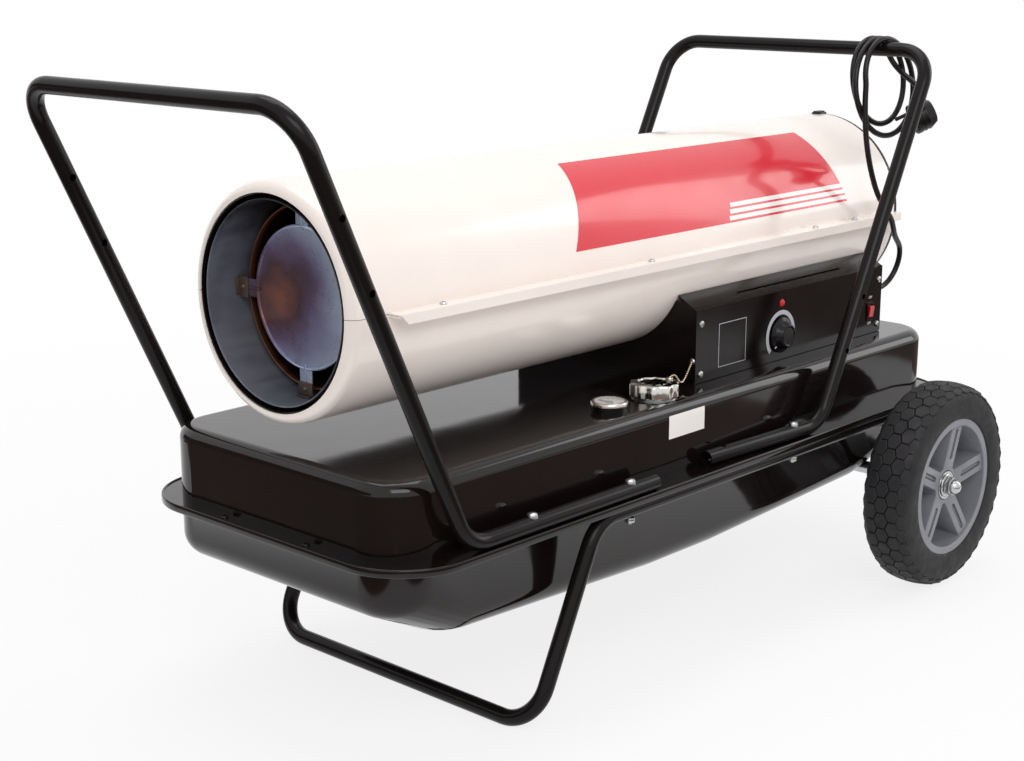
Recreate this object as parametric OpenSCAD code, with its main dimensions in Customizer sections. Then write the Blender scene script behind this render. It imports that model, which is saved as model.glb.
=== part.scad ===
// Forced-air kerosene space heater on a two-wheeled frame.
// Millimetres, floor at z = 0, hot air leaves at -X, controls face -Y.

/* [Running gear] */
// Diameter of the wheels
wheel_d = 254; // [230:1:270]
// Width of a tyre
tyre_w = 60; // [48:1:64]
// Diameter of the grey rim
rim_d = 170; // [140:1:190]
// Distance from the frame tubes out to the middle of a wheel
wheel_out = 62; // [60:1:80]
// Axle position along the heater
axle_x = 411; // [380:1:430]
// Diameter of the axle
axle_d = 16; // [14:1:20]
// Number of spokes in a rim
spokes = 5; // [4:1:7]

/* [Frame tubes] */
// Outside diameter of the bent tubes
tube_d = 17.3; // [15:0.1:20]
// Wall of the bent tubes
tube_wall = 1.6; // [1.2:0.1:2.5]
// Bend radius of the tubes at their centre line
tube_bend = 42; // [32:1:50]
// Distance from the tank's side out to the middle of the tubes
tube_out = 21; // [19:0.5:22]
// Front handle, top bar position
front_top_x = -549; // [-590:1:-520]
// Front handle, height of the top bar
front_top_z = 645; // [600:1:690]
// Front handle, where a leg meets its foot
front_bend_x = -352; // [-370:1:-335]
// Front handle, free end of a foot
front_foot_x = -70; // [-85:1:-60]
// Rear handle, top bar position
rear_top_x = 458; // [440:1:480]
// Rear handle, height of the top bar
rear_top_z = 648; // [630:1:690]
// Rear handle, where a leg meets its foot
rear_bend_x = 241; // [236:1:260]
// Rear handle, free end of a foot
rear_foot_x = 36; // [0:1:45]
// How far the free end of a rear foot stands in
rear_foot_in = 12; // [0:0.5:13]
// Front leg, position of its floor bar
leg_floor_x = -259; // [-290:1:-230]
// Front leg, where a riser turns under the tank
leg_bend_x = -164; // [-180:1:-150]
// Bolts through the feet and the flange
foot_bolt_d = 6; // [5:0.5:7]

/* [Fuel tank] */
// Height of the tank's seam above the floor
seam_z = 214; // [208:1:225]
// Length of the tank body
tank_l = 966; // [950:1:985]
// Middle of the tank along the heater
tank_x = 55; // [50:1:60]
// Width of the tank body
tank_w = 350; // [340:1:352]
// Depth of the upper pressing
tank_up_h = 78; // [70:1:90]
// Depth of the lower pressing
tank_low_h = 90; // [84:1:94]
// Depth of the lower pressing at its raised ends
tank_end_h = 62; // [56:1:76]
// Extra depth in the middle of the lower pressing
tank_sag = 12; // [4:1:16]
// Length of the raised front end
front_slope_l = 108; // [90:1:130]
// Length of the raised rear end
rear_slope_l = 178; // [150:1:200]
// Corner radius of the tank seen from above
tank_corner_r = 50; // [40:1:60]
// Radius along the top edge
tank_top_r = 14; // [8:1:24]
// Radius along the bottom edge
tank_bottom_r = 25; // [16:1:32]
// Sheet thickness of the tank
tank_sheet = 1.5; // [1:0.1:2]
// Width of the flange at the two ends
flange_end_w = 18; // [18:1:26]
// Width of the flange along the sides
flange_side_w = 31; // [31:0.5:40]
// Height of the rolled lip round the flange
lip_h = 7.5; // [7:0.5:10]

/* [Filler and gauge] */
// Distance from the tank's side in to the middle of the filler and the gauge
filler_in = 40; // [37:0.5:42]
// Filler position along the heater
filler_x = 4; // [-5:1:20]
// Diameter of the lobed cap
cap_d = 56; // [52:1:58]
// Height of the cap
cap_h = 14; // [12:0.5:18]
// Gauge position along the heater
gauge_x = -73; // [-100:1:-60]
// Diameter of the gauge
gauge_d = 40; // [34:1:44]
// Travel of the gauge float
float_travel = 90; // [60:1:95]

/* [Barrel] */
// Outside diameter of the barrel
barrel_d = 236; // [230:1:238]
// Front end of the barrel
barrel_front_x = -420; // [-440:1:-400]
// Length of the barrel
barrel_l = 940; // [930:1:950]
// Clear height between the tank and the barrel
barrel_lift = 29; // [24:1:36]
// Sheet thickness of the barrel halves
shell_t = 1.5; // [1:0.1:2]
// Diameter of the open mouth
mouth_d = 213; // [211:0.5:220]
// Width of the ledge along each seam
ledge_w = 18; // [15:0.5:22]
// Height of the lip that hangs from the ledge
ledge_h = 10; // [6:0.5:14]
// Outside diameter of the heat liner
liner_d = 202; // [198:0.5:206]
// Outside diameter of the combustion chamber
chamber_d = 184; // [170:1:188]
// Diameter of the baffle disc
baffle_d = 144; // [120:1:150]

/* [Blower] */
// Diameter of the fan
fan_d = 200; // [160:1:206]
// Number of fan blades
fan_blades = 5; // [4:1:7]
// Diameter of the motor
motor_d = 110; // [96:1:116]
// Length of the motor
motor_l = 90; // [80:1:95]
// Diameter of the motor shaft
shaft_d = 12; // [10:0.5:14]

/* [Control box] */
// Left end of the control box
box_x = 78; // [72:1:84]
// Length of the control box
box_l = 392; // [386:1:396]
// Distance from the middle plane to the panel
box_y = 135; // [133:0.5:140]
// Height of the upright part of the panel
box_h = 84; // [78:1:90]
// Height that the sloped top adds
slope_h = 15; // [10:1:18]
// Sheet thickness of the box
box_sheet = 1.5; // [1:0.1:2]
// Diameter of the thermostat knob at its foot
knob_d = 43; // [36:1:46]
// Knob position from the left end of the box
knob_at = 167; // [150:1:190]

/* [Mains cord] */
// Diameter of the mains cord
cord_d = 7; // [6:0.5:8]

/* [Hidden] */
$fn = 64;
eps = 0.01;
slip = 0.3;
run_fit = 0.05;
drill_fit = 0.3;

axle_z = wheel_d / 2;
tube_r = tube_d / 2;
tube_y = tank_w / 2 + tube_out;
wheel_y = tube_y + wheel_out;

deck_z = seam_z + tank_up_h;
tank_front = tank_x - tank_l / 2;
flange_l = tank_l + 2 * flange_end_w;
flange_w = tank_w + 2 * flange_side_w;
flange_corner_r = tank_corner_r + 28;
filler_y = filler_in - tank_w / 2;
sag_start = tank_x - 95;
sag_end = tank_x + 15;
lip_t = 2;
foot_z = seam_z + tank_sheet + tube_r;
run_z = seam_z - tank_sheet - tube_r;

barrel_r = barrel_d / 2;
barrel_z = deck_z + barrel_lift + barrel_r;
barrel_rear_x = barrel_front_x + barrel_l;
shell_in_r = barrel_r - shell_t;
split_gap = 0.6;
ledge_start = barrel_front_x + 44;
ledge_end = barrel_rear_x - 12;
ledge_mid_y = barrel_r + ledge_w / 2;

hot_sheet = 1.5;
liner_r = liner_d / 2;
liner_front = barrel_front_x + 4;
chamber_r = chamber_d / 2;
chamber_front = barrel_front_x + 50;
hot_rear = barrel_front_x + 650;
baffle_x = barrel_front_x + 43;
burner_r = 36;
igniter_y = 5;
igniter_z = 22;

burner_block_x = hot_rear + 22;
burner_block_l = 44;
burner_block_w = 26;
fuel_line_x = burner_block_x + 11;
air_line_x = burner_block_x + 33;
line_d = 6;
line_bend = 15;
fan_x = burner_block_x + burner_block_l + 10;
fan_l = 34;
motor_x = fan_x + fan_l + 16;
pump_x = motor_x + motor_l;
pump_l = 34;
pump_r = 42;
pump_cover_l = 12;
rotor_r = 26;
rotor_l = 22;
air_line_z = barrel_z - (fan_d / 2 + shell_in_r) / 2;
guard_t = 7;

box_top_z = deck_z + box_h;
box_end = box_x + box_l;
knob_x = box_x + knob_at;
knob_z = deck_z + 30.5;
knob_top_d = 27;
knob_h = 13;
lamp_z = deck_z + 69;
switch_x = box_end - 26;
switch_z = deck_z + 29;
panel_screw_z = [deck_z + 10, deck_z + 68];
panel_screw_x = [box_x + 9, box_end - 8];
gland_y = -116;
gland_z = deck_z + 50;
gland_l = 23;

gauge_float_h = 22;
float_rest_z = seam_z - tank_low_h + tank_sheet + 12;
stem_r = 3;
neck_r = 22;
neck_h = 12;
seal_t = 2;
cap_lift = 3;

axle_plate_t = 5;
hub_r = 24;
bearing_r = 17.5;
bearing_w = 11;
rim_w = tyre_w - 6;
hub_inset = 10;
axle_end_y = wheel_y + rim_w / 2 - hub_inset + 6;

front_leg_dir = unit([front_top_x - front_bend_x, 0, front_top_z - foot_z]);
rear_leg_dir = unit([rear_top_x - rear_bend_x, 0, rear_top_z - foot_z]);
leg_hole_r = 3.5;
front_leg_holes = [287, 362];
rear_leg_holes = [93, 161];
front_foot_bolts = [front_bend_x + 90, front_bend_x + 241];
rear_foot_bolt = rear_bend_x - 49;
rear_spare_hole = rear_foot_x + 29;

// Loops of the cord hung over the bar of the rear handle, the middle one the widest
hank_start = -90;
hank_end = 740;
hank_half_w = 46;
hank_half_h = 55.5;
hank_y = -130;
hank_pitch = 9;
hank_tilt = 8;
hank_lean = 6.5;
hank_top = rear_top_z + tube_r + cord_d / 2 + 0.5;
// The lead leaves the control box straight, turns up in one round bend and rises to the loops on the rear handle
gland_face = [box_end + gland_l, gland_y, gland_z];
lead_bend_r = 32;
lead_bend = [
    for (a = [0 : 15 : 135])
        gland_face + [4 + lead_bend_r * sin(a), -7 * (1 - cos(a)), lead_bend_r * (1 - cos(a))]
];
lead_rise = [
    lead_bend[9], [495, -135, 414], [471, -143, 437], [436, -143, 472], [419, -140, 510], [415, -135, 546],
    [415, -132, 578], hank_point(hank_start)
];
// Route of the tail from the loops down to the plug
tail_route = [
    hank_point(hank_end), [484, -117, 645], [489, -124, 630], [490, -138, 617], [487, -155, 607], [484, -166, 598]
];
plug_at = [482, -173, 568];
plug_face = unit([-6, 6, -4]);

function unit(v) = v / norm(v);
function normal_to(d) = abs(d.z) < 0.9 ? unit(cross([0, 0, 1], d)) : unit(cross([1, 0, 0], d));
function turn_at(a, b, c) = acos(unit(b - a) * unit(c - b));
function foot_y(x) = tube_y - rear_foot_in * (rear_bend_x - x) / (rear_bend_x - rear_foot_x);

// Smooth curve through hand-set points
function curve_point(p, i, t) =
    let (a = p[max(i - 1, 0)], b = p[i], c = p[i + 1], d = p[min(i + 2, len(p) - 1)])
    0.5 * (2 * b + (c - a) * t + (2 * a - 5 * b + 4 * c - d) * t ^ 2 + (3 * b - a - 3 * c + d) * t ^ 3);
function smooth(p, steps) =
    concat([for (i = [0 : len(p) - 2], k = [0 : steps - 1]) curve_point(p, i, k / steps)], [p[len(p) - 1]]);
function tangents(p) =
    [for (i = [0 : len(p) - 1]) unit(p[min(i + 1, len(p) - 1)] - p[max(i - 1, 0)])];
function carried_normals(t, i = 0, done = []) =
    i == len(t) ? done :
    let (last = i == 0 ? normal_to(t[0]) : done[i - 1])
    carried_normals(t, i + 1, concat(done, [unit(last - t[i] * (last * t[i]))]));
function hank_point(a) =
    let (swell = cos((a - 180) / 2))
    [
        rear_top_x + (hank_half_w + 6 * swell) * sin(a),
        hank_y + hank_pitch * a / 360 - hank_tilt * sin(a) - hank_lean * (1 - cos(a)),
        hank_top - (hank_half_h + 3.5 * swell) * (1 - cos(a))
    ];
lead_path = concat([gland_face], [for (k = [0 : 8]) lead_bend[k]], smooth(lead_rise, 2));
rings_per_loop = 24;
hank_rings = round((hank_end - hank_start) * rings_per_loop / 360);
hank_path = [for (k = [0 : hank_rings]) hank_point(hank_start + k * (hank_end - hank_start) / hank_rings)];
hank_gap = min([
    for (i = [0 : len(hank_path) - 1], k = [i + rings_per_loop / 2 : 1 : len(hank_path) - 1])
        norm(hank_path[i] - hank_path[k])
]) - cord_d;
echo(hank_gap = hank_gap);

module stand(p, d) {
    a = normal_to(d);
    b = cross(d, a);
    multmatrix([[a.x, b.x, d.x, p.x], [a.y, b.y, d.y, p.y], [a.z, b.z, d.z, p.z], [0, 0, 0, 1]]) children();
}

module bent_rod(route, bend, r, overrun = 0) {
    last = len(route) - 1;
    trim = [for (i = [0 : last])
        i == 0 || i == last ? -overrun : bend * tan(turn_at(route[i - 1], route[i], route[i + 1]) / 2)];
    for (i = [0 : last - 1]) {
        d = unit(route[i + 1] - route[i]);
        stand(route[i] + d * trim[i], d)
            cylinder(r = r, h = norm(route[i + 1] - route[i]) - trim[i] - trim[i + 1]);
    }
    // Each bend is a hair thinner than the straights and runs a little way into them
    reach = sqrt(0.06 * bend) / bend * 180 / PI;
    for (i = [1 : last - 1]) {
        u = unit(route[i] - route[i - 1]);
        v = unit(route[i + 1] - route[i]);
        turn = acos(u * v);
        centre = route[i] + unit(v - u) * bend / cos(turn / 2);
        out = unit(route[i] - u * trim[i] - centre);
        a = out * cos(reach) - u * sin(reach);
        b = u * cos(reach) + out * sin(reach);
        c = cross(a, b);
        multmatrix([[a.x, b.x, c.x, centre.x], [a.y, b.y, c.y, centre.y], [a.z, b.z, c.z, centre.z], [0, 0, 0, 1]])
            rotate_extrude(angle = turn + 2 * reach) translate([bend, 0]) circle(r - 0.05);
    }
}

module bent_tube(route, bend, d, wall) {
    difference() {
        bent_rod(route, bend, d / 2);
        bent_rod(route, bend, d / 2 - wall, 1);
    }
}

module swept_cord(path, d, sides) {
    t = tangents(path);
    n = carried_normals(t);
    last = len(path) - 1;
    rings = [for (i = [0 : last], k = [0 : sides - 1])
        let (b = cross(t[i], n[i]), a = 360 * k / sides)
        path[i] + d / 2 * (n[i] * cos(a) + b * sin(a))];
    skin = [for (i = [0 : last - 1], k = [0 : sides - 1])
        let (p = i * sides + k, q = i * sides + (k + 1) % sides)
        each [[p, p + sides, q], [q, p + sides, q + sides]]];
    first_cap = [for (k = [1 : sides - 2]) [0, k, k + 1]];
    last_cap = [for (k = [1 : sides - 2]) [last * sides, last * sides + k + 1, last * sides + k]];
    polyhedron(concat(rings), concat(skin, first_cap, last_cap));
}

module rod_x(x0, x1, r, y = 0, z = 0) {
    translate([x0, y, z]) rotate([0, 90, 0]) cylinder(r = r, h = x1 - x0);
}

module rod_y(y0, y1, r, x, z) {
    translate([x, y1, z]) rotate([90, 0, 0]) cylinder(r = r, h = y1 - y0);
}

module pipe_x(x0, x1, r_out, r_in, z) {
    difference() {
        rod_x(x0, x1, r_out, 0, z);
        rod_x(x0 - 1, x1 + 1, r_in, 0, z);
    }
}

module both_sides() {
    children();
    mirror([0, 1, 0]) children();
}

module rounded_plate(l, w, r) {
    for (sx = [-1, 1], sy = [-1, 1]) translate([sx * (l / 2 - r), sy * (w / 2 - r)]) circle(r);
    square([l - 2 * r, w], center = true);
    square([l, w - 2 * r], center = true);
}

// Upright half-section of a pan from its middle out to r, with a rounded top edge
module pan_section(r, h, edge) {
    square([r - edge, h]);
    square([r, h - edge]);
    translate([r - edge, h - edge]) intersection() {
        circle(edge);
        square(edge);
    }
}

// Rounded pan, open side at z = 0
module pan(l, w, h, corner, edge) {
    side = l / 2 - corner;
    end = w / 2 - corner;
    for (turn = [0, 180]) rotate(turn) {
        translate([-side, 0, 0]) rotate([90, 0, 90]) linear_extrude(2 * side) pan_section(w / 2, h, edge);
        translate([side, end, 0]) rotate([90, 0, 0]) linear_extrude(2 * end) pan_section(corner, h, edge);
    }
    for (flip = [0, 1], turn = [0, 1]) mirror([flip, 0, 0]) mirror([0, turn, 0])
        translate([side, end, 0]) rotate_extrude(angle = 90) pan_section(corner, h, edge);
}

// Lower pressing as a solid that is smaller all round by inset: raised ends and a deeper middle
module lower_pan(inset) {
    corner = tank_corner_r - inset;
    edge = tank_bottom_r - inset;
    side = tank_w / 2 - tank_corner_r;
    front = tank_front + tank_corner_r;
    rear = tank_front + tank_l - tank_corner_r;
    stations = [
        [front, tank_end_h], [tank_front + front_slope_l, tank_low_h], [sag_start, tank_low_h + tank_sag],
        [sag_end, tank_low_h + tank_sag], [tank_front + tank_l - rear_slope_l, tank_low_h], [rear, tank_end_h]
    ];
    translate([0, 0, seam_z]) mirror([0, 0, 1]) hull() for (place = stations, sy = [-1, 1])
        translate([place[0], sy * side, 0]) rotate_extrude($fn = 40) pan_section(corner, place[1] - inset, edge);
}

module tank_upper() {
    inner_r = tank_corner_r - tank_sheet;
    color("#141414") difference() {
        union() {
            translate([tank_x, 0, seam_z]) pan(tank_l, tank_w, tank_up_h, tank_corner_r, tank_top_r);
            translate([tank_x, 0, seam_z]) linear_extrude(tank_sheet)
                rounded_plate(flange_l - 2 * (lip_t + slip), flange_w - 2 * (lip_t + slip), flange_corner_r - lip_t);
        }
        translate([tank_x, 0, seam_z - 1])
            pan(tank_l - 2 * tank_sheet, tank_w - 2 * tank_sheet, tank_up_h - tank_sheet + 1, inner_r,
                tank_top_r - tank_sheet);
        translate([filler_x, filler_y, deck_z]) cylinder(r = neck_r + slip, h = 40, center = true);
        translate([gauge_x, filler_y, deck_z]) cylinder(r = gauge_d / 2 - 3, h = 40, center = true);
        translate([fuel_line_x, 0, deck_z]) cylinder(r = line_d / 2 + drill_fit, h = 40, center = true);
        foot_bolt_holes();
        flange_screw_holes();
    }
}

module tank_lower() {
    groove_r = axle_d / 2 + 3;
    color("#161616") difference() {
        union() {
            lower_pan(0);
            translate([tank_x, 0, seam_z - tank_sheet]) linear_extrude(tank_sheet)
                rounded_plate(flange_l, flange_w, flange_corner_r);
            translate([tank_x, 0, seam_z + tank_sheet + 1 - lip_h]) linear_extrude(lip_h) difference() {
                rounded_plate(flange_l, flange_w, flange_corner_r);
                rounded_plate(flange_l - 2 * lip_t, flange_w - 2 * lip_t, flange_corner_r - lip_t);
            }
        }
        difference() {
            union() {
                lower_pan(tank_sheet);
                translate([tank_x, 0, seam_z - tank_sheet - 1]) linear_extrude(tank_sheet + 2) rounded_plate(
                    tank_l - 2 * tank_sheet, tank_w - 2 * tank_sheet, tank_corner_r - tank_sheet);
            }
            rod_y(-tank_w, tank_w, groove_r + tank_sheet, axle_x, axle_z);
        }
        rod_y(-tank_w, tank_w, groove_r, axle_x, axle_z);
        translate([tank_x, 0, seam_z - tank_low_h - tank_sag]) cylinder(r = 8 + slip, h = 12, center = true);
        foot_bolt_holes();
        flange_screw_holes();
    }
}

module foot_bolt_places() {
    both_sides() {
        for (x = front_foot_bolts) translate([x, -tube_y, 0]) children();
        translate([rear_foot_bolt, -foot_y(rear_foot_bolt), 0]) children();
    }
}

module foot_bolt_holes() {
    foot_bolt_places() translate([0, 0, run_z - 2 * tube_d])
        cylinder(d = foot_bolt_d + 2 * drill_fit, h = 5 * tube_d);
}

module flange_screw_places() {
    screw_x = flange_l / 2 - flange_end_w / 2 - lip_t / 2;
    for (sx = [-1, 1], sy = [-1, 1]) translate([tank_x + sx * screw_x, sy * 62, seam_z]) children();
}

module flange_screw_holes() {
    flange_screw_places() cylinder(r = 2.3, h = 30, center = true);
}

module drain_plug() {
    z = seam_z - tank_low_h - tank_sag;
    color("#9a9a98") {
        translate([tank_x, 0, z - 6]) cylinder(r = 11, h = 6, $fn = 6);
        translate([tank_x, 0, z - 6]) cylinder(r = 8, h = 16);
    }
}

module filler_neck() {
    color("#b8b8b4") translate([filler_x, filler_y, deck_z]) difference() {
        union() {
            translate([0, 0, -10]) cylinder(r = neck_r, h = 10 + neck_h);
            cylinder(r = neck_r + 3.5, h = 1.5);
        }
        translate([0, 0, -11]) cylinder(r = neck_r - 2, h = 12 + neck_h);
    }
}

module cap_seal() {
    color("#2a2a2a") translate([filler_x, filler_y, deck_z + neck_h]) difference() {
        cylinder(r = neck_r, h = seal_t);
        translate([0, 0, -1]) cylinder(r = 8, h = seal_t + 2);
    }
}

module fuel_cap() {
    lobes = 10;
    top = cap_lift + cap_h;
    under = neck_h + seal_t + 0.2;
    color("#d9d9d6") translate([filler_x, filler_y, deck_z]) difference() {
        translate([0, 0, cap_lift]) cylinder(d = cap_d, h = cap_h);
        translate([0, 0, cap_lift - 1]) cylinder(r = neck_r + 1, h = under - cap_lift + 1);
        translate([0, 0, top - 1.2]) cylinder(d = cap_d - 18, h = 2);
        for (i = [0 : lobes - 1]) rotate((i + 0.5) * 360 / lobes)
            translate([cap_d / 2 + 5.2, 0, cap_lift - 1]) cylinder(r = 7, h = cap_h + 2);
    }
}

// Bead chain from the cap's edge to the end plate of the control box
module cap_chain() {
    top = deck_z + cap_lift + cap_h;
    start = [filler_x + cap_d / 2 - 5, filler_y - 4, top + 1.6];
    edge = [filler_x + cap_d / 2 + 3, filler_y - 4, top + 1.8];
    end = [box_x - 1.4, -box_y + 4, deck_z + 26];
    low = [(edge.x + end.x) / 2 - 2, filler_y - 2, deck_z + 8];
    color("#c9b890") swept_cord(smooth([start, edge, low, end], 7), 2.4, 8);
}

module gauge_grommet() {
    color("#1b1b1b") translate([gauge_x, filler_y, deck_z]) difference() {
        union() {
            cylinder(d = gauge_d - 2, h = 6);
            translate([0, 0, -6]) cylinder(r = gauge_d / 2 - 3.2, h = 7);
        }
        translate([0, 0, -7]) cylinder(r = gauge_d / 2 - 7, h = 14);
    }
}

module gauge_bezel() {
    color("#c8c4c0") translate([gauge_x, filler_y, deck_z + 6]) difference() {
        union() {
            cylinder(d = gauge_d, h = 4.5);
            translate([0, 0, -10]) cylinder(r = gauge_d / 2 - 7.2, h = 11);
        }
        translate([0, 0, 1.5]) cylinder(d = gauge_d - 7, h = 4);
        translate([0, 0, -11]) cylinder(r = stem_r + run_fit, h = 14);
    }
}

module gauge_needle() {
    color("#b03030") translate([gauge_x, filler_y, deck_z + 7.8]) {
        cylinder(r = 4.5, h = 1.2);
        translate([-1, 0, 0]) cube([2, gauge_d / 2 - 6, 1]);
        translate([0, 0, -12]) cylinder(r = stem_r, h = 12.5);
    }
}

module gauge_stem() {
    low = seam_z - tank_low_h + tank_sheet + 8;
    top = deck_z - 4.4;
    color("#b9b9b4") translate([gauge_x, filler_y, 0]) {
        translate([0, 0, low]) cylinder(r = stem_r, h = top - low);
        translate([0, 0, low]) cylinder(r = 8, h = 3);
    }
}

module gauge_float() {
    color("#3a3a3a") translate([gauge_x, filler_y, float_rest_z]) difference() {
        cylinder(r = 13, h = gauge_float_h);
        translate([0, 0, -1]) cylinder(r = stem_r + run_fit, h = gauge_float_h + 2);
    }
}

// Half of the barrel above the seam, with a shoulder rolled in to the mouth
module barrel_half() {
    shoulder = barrel_r - mouth_d / 2;
    translate([barrel_front_x, 0, split_gap / 2]) rotate([90, 0, 0]) rotate([0, 90, 0]) rotate_extrude(angle = 180) {
        translate([shell_in_r, shoulder]) square([shell_t, barrel_l - shoulder]);
        translate([barrel_r - shoulder, shoulder]) difference() {
            circle(shoulder);
            circle(shoulder - shell_t);
            translate([-2 * shoulder, -2 * shoulder]) square([2 * shoulder, 4 * shoulder]);
            translate([-1, 0]) square(2 * shoulder);
        }
    }
}

module ledge_screw_places() {
    screw_pitch = 318;
    both_sides() for (x = [0, screw_pitch, 2 * screw_pitch, 2 * screw_pitch + 88])
        translate([ledge_start + 64 + x, -ledge_mid_y, barrel_z]) children();
}

module upper_shell() {
    lip_top = split_gap / 2 + shell_t;
    color("#f2e4dc") difference() {
        translate([0, 0, barrel_z]) {
            barrel_half();
            both_sides() {
                translate([ledge_start, -barrel_r - ledge_w, split_gap / 2])
                    cube([ledge_end - ledge_start, ledge_w + shell_t / 2, shell_t]);
                translate([0, -barrel_r - ledge_w + shell_t, lip_top]) rotate([90, 0, 0]) linear_extrude(shell_t)
                    polygon([[ledge_start, 0], [ledge_end, 0], [ledge_end, -ledge_h],
                             [ledge_start + ledge_h, -ledge_h]]);
            }
        }
        ledge_screw_places() cylinder(r = 2.3, h = 20, center = true);
    }
}

module lower_shell() {
    fuel_hole_r = line_d / 2 + drill_fit;
    color("#ecdcd3") difference() {
        translate([0, 0, barrel_z]) mirror([0, 0, 1]) {
            barrel_half();
            both_sides() translate([ledge_start, -barrel_r - ledge_w + shell_t + slip, split_gap / 2])
                cube([ledge_end - ledge_start, ledge_w - shell_t / 2 - slip, shell_t]);
        }
        ledge_screw_places() cylinder(r = 2.3, h = 20, center = true);
        translate([fuel_line_x, 0, barrel_z - barrel_r - 5]) cylinder(r = fuel_hole_r, h = 20);
    }
}

module pan_screw(shank) {
    cylinder(r = 4, h = 2.4);
    translate([0, 0, -shank]) cylinder(r = 2, h = shank + 1);
}

module casing_screws() {
    color("#c3c3c0") {
        ledge_screw_places() translate([0, 0, split_gap / 2 + shell_t]) pan_screw(9);
        flange_screw_places() translate([0, 0, tank_sheet]) pan_screw(8);
        for (x = panel_screw_x, z = panel_screw_z) translate([x, -box_y, z]) rotate([90, 0, 0]) pan_screw(6);
    }
}

module heat_liner() {
    color("#4b4f58") pipe_x(liner_front, hot_rear, liner_r, liner_r - hot_sheet, barrel_z);
}

module combustion_chamber() {
    color("#7a4a38") difference() {
        rod_x(chamber_front, hot_rear, chamber_r, 0, barrel_z);
        rod_x(chamber_front - 1, hot_rear - hot_sheet, chamber_r - hot_sheet, 0, barrel_z);
        rod_x(hot_rear - 5, hot_rear + 1, burner_r + slip, 0, barrel_z);
    }
}

// Spacers that hold the chamber in the liner and the liner in the barrel
module stand_offs() {
    stations = [120, 420, 620];
    color("#8a8a86") for (x = stations, a = [45 : 90 : 315]) {
        stand_off(barrel_front_x + x, a, chamber_r + 0.2, liner_r - hot_sheet - 0.2);
        stand_off(barrel_front_x + x, a, liner_r + 0.2, shell_in_r - 0.2);
    }
}

module stand_off(x, a, r0, r1) {
    translate([x, 0, barrel_z]) rotate([a, 0, 0]) intersection() {
        pipe_x(0, 20, r1, r0, 0);
        translate([0, -7, 0]) cube([20, 14, barrel_r]);
    }
}

module baffle_disc() {
    liner_in = liner_r - hot_sheet;
    tab_w = 18;
    foot_l = 5;
    tab_end = sqrt((liner_in - 0.4) ^ 2 - (tab_w / 2) ^ 2);
    color("#6d5f78") translate([baffle_x, 0, barrel_z]) {
        rotate([0, 90, 0]) rotate_extrude() {
            translate([0, 5]) square([baffle_d / 2 - 14, hot_sheet]);
            polygon([[baffle_d / 2 - 14.5, 5], [baffle_d / 2 - 14, 5 + hot_sheet],
                     [baffle_d / 2 - 3, hot_sheet], [baffle_d / 2 - 3, 0]]);
            translate([baffle_d / 2 - 3, 0]) square([3, hot_sheet]);
        }
        for (a = [0 : 90 : 270]) rotate([a, 0, 0]) {
            translate([0, -tab_w / 2, baffle_d / 2 - 2]) cube([hot_sheet, tab_w, tab_end - baffle_d / 2 + 2]);
            translate([-foot_l, -tab_w / 2, tab_end - hot_sheet]) cube([foot_l + hot_sheet, tab_w, hot_sheet]);
        }
    }
}

module burner_head() {
    cone_l = 22;
    color("#5d5f63") translate([hot_rear - 4, 0, barrel_z]) rotate([0, 90, 0]) difference() {
        union() {
            cylinder(r = burner_r, h = cone_l);
            translate([0, 0, 4]) cylinder(r = burner_r + 10, h = 2);
        }
        translate([0, 0, -1]) cylinder(r = burner_r - 2, h = cone_l - 3);
        translate([0, 0, -1]) cylinder(r = 9, h = cone_l + 2);
        for (y = [-igniter_y, igniter_y]) translate([-igniter_z, y, 0]) cylinder(r = 3.8, h = cone_l + 1);
    }
}

module nozzle_block() {
    back_x = hot_rear - 4 + 22;
    color("#b08d3c") difference() {
        union() {
            translate([burner_block_x, -burner_block_w / 2, barrel_z - burner_block_w / 2])
                cube([burner_block_l, burner_block_w, burner_block_w]);
            rod_x(back_x, burner_block_x + 1, 12, 0, barrel_z);
            rod_x(back_x - 12, back_x + 1, 8.5, 0, barrel_z);
        }
        rod_x(back_x - 13, burner_block_x + 6, 1.2, 0, barrel_z);
    }
}

module igniter() {
    back_x = hot_rear + 18;
    color("#e8e4da") for (y = [-igniter_y, igniter_y]) {
        rod_x(hot_rear - 14, back_x - 3, 1.2, y, barrel_z + igniter_z);
        rod_x(back_x - 4, back_x + 24, 3.5, y, barrel_z + igniter_z);
    }
}

module flame_sensor() {
    back_x = hot_rear + 18;
    color("#303238") {
        rod_x(back_x + 0.2, back_x + 26, 6, 22, barrel_z - 14);
        rod_x(back_x + 10, back_x + 13, 9, 22, barrel_z - 14);
    }
}

module fan() {
    hub = 26;
    color("#9aa0a4") translate([fan_x, 0, barrel_z]) difference() {
        union() {
            rod_x(0, fan_l, hub);
            intersection() {
                rod_x(0, fan_l, fan_d / 2);
                for (i = [0 : fan_blades - 1]) rotate([i * 360 / fan_blades, 0, 0])
                    translate([fan_l / 2, 0, hub - 4]) rotate([0, 0, 38])
                        translate([-1.2, -fan_l, 0]) cube([2.4, 2 * fan_l, fan_d / 2]);
            }
        }
        rod_x(-1, fan_l + 1, shaft_d / 2 + slip / 2);
    }
}

module motor_shaft() {
    color("#cfcfcb") rod_x(fan_x - 4, pump_x + 4 + rotor_l, shaft_d / 2, 0, barrel_z);
}

module motor() {
    color("#26282b") difference() {
        union() {
            rod_x(motor_x, pump_x, motor_d / 2, 0, barrel_z);
            rod_x(motor_x - 6, motor_x + 1, 20, 0, barrel_z);
        }
        rod_x(motor_x - 7, pump_x + 1, shaft_d / 2 + run_fit, 0, barrel_z);
    }
}

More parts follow.
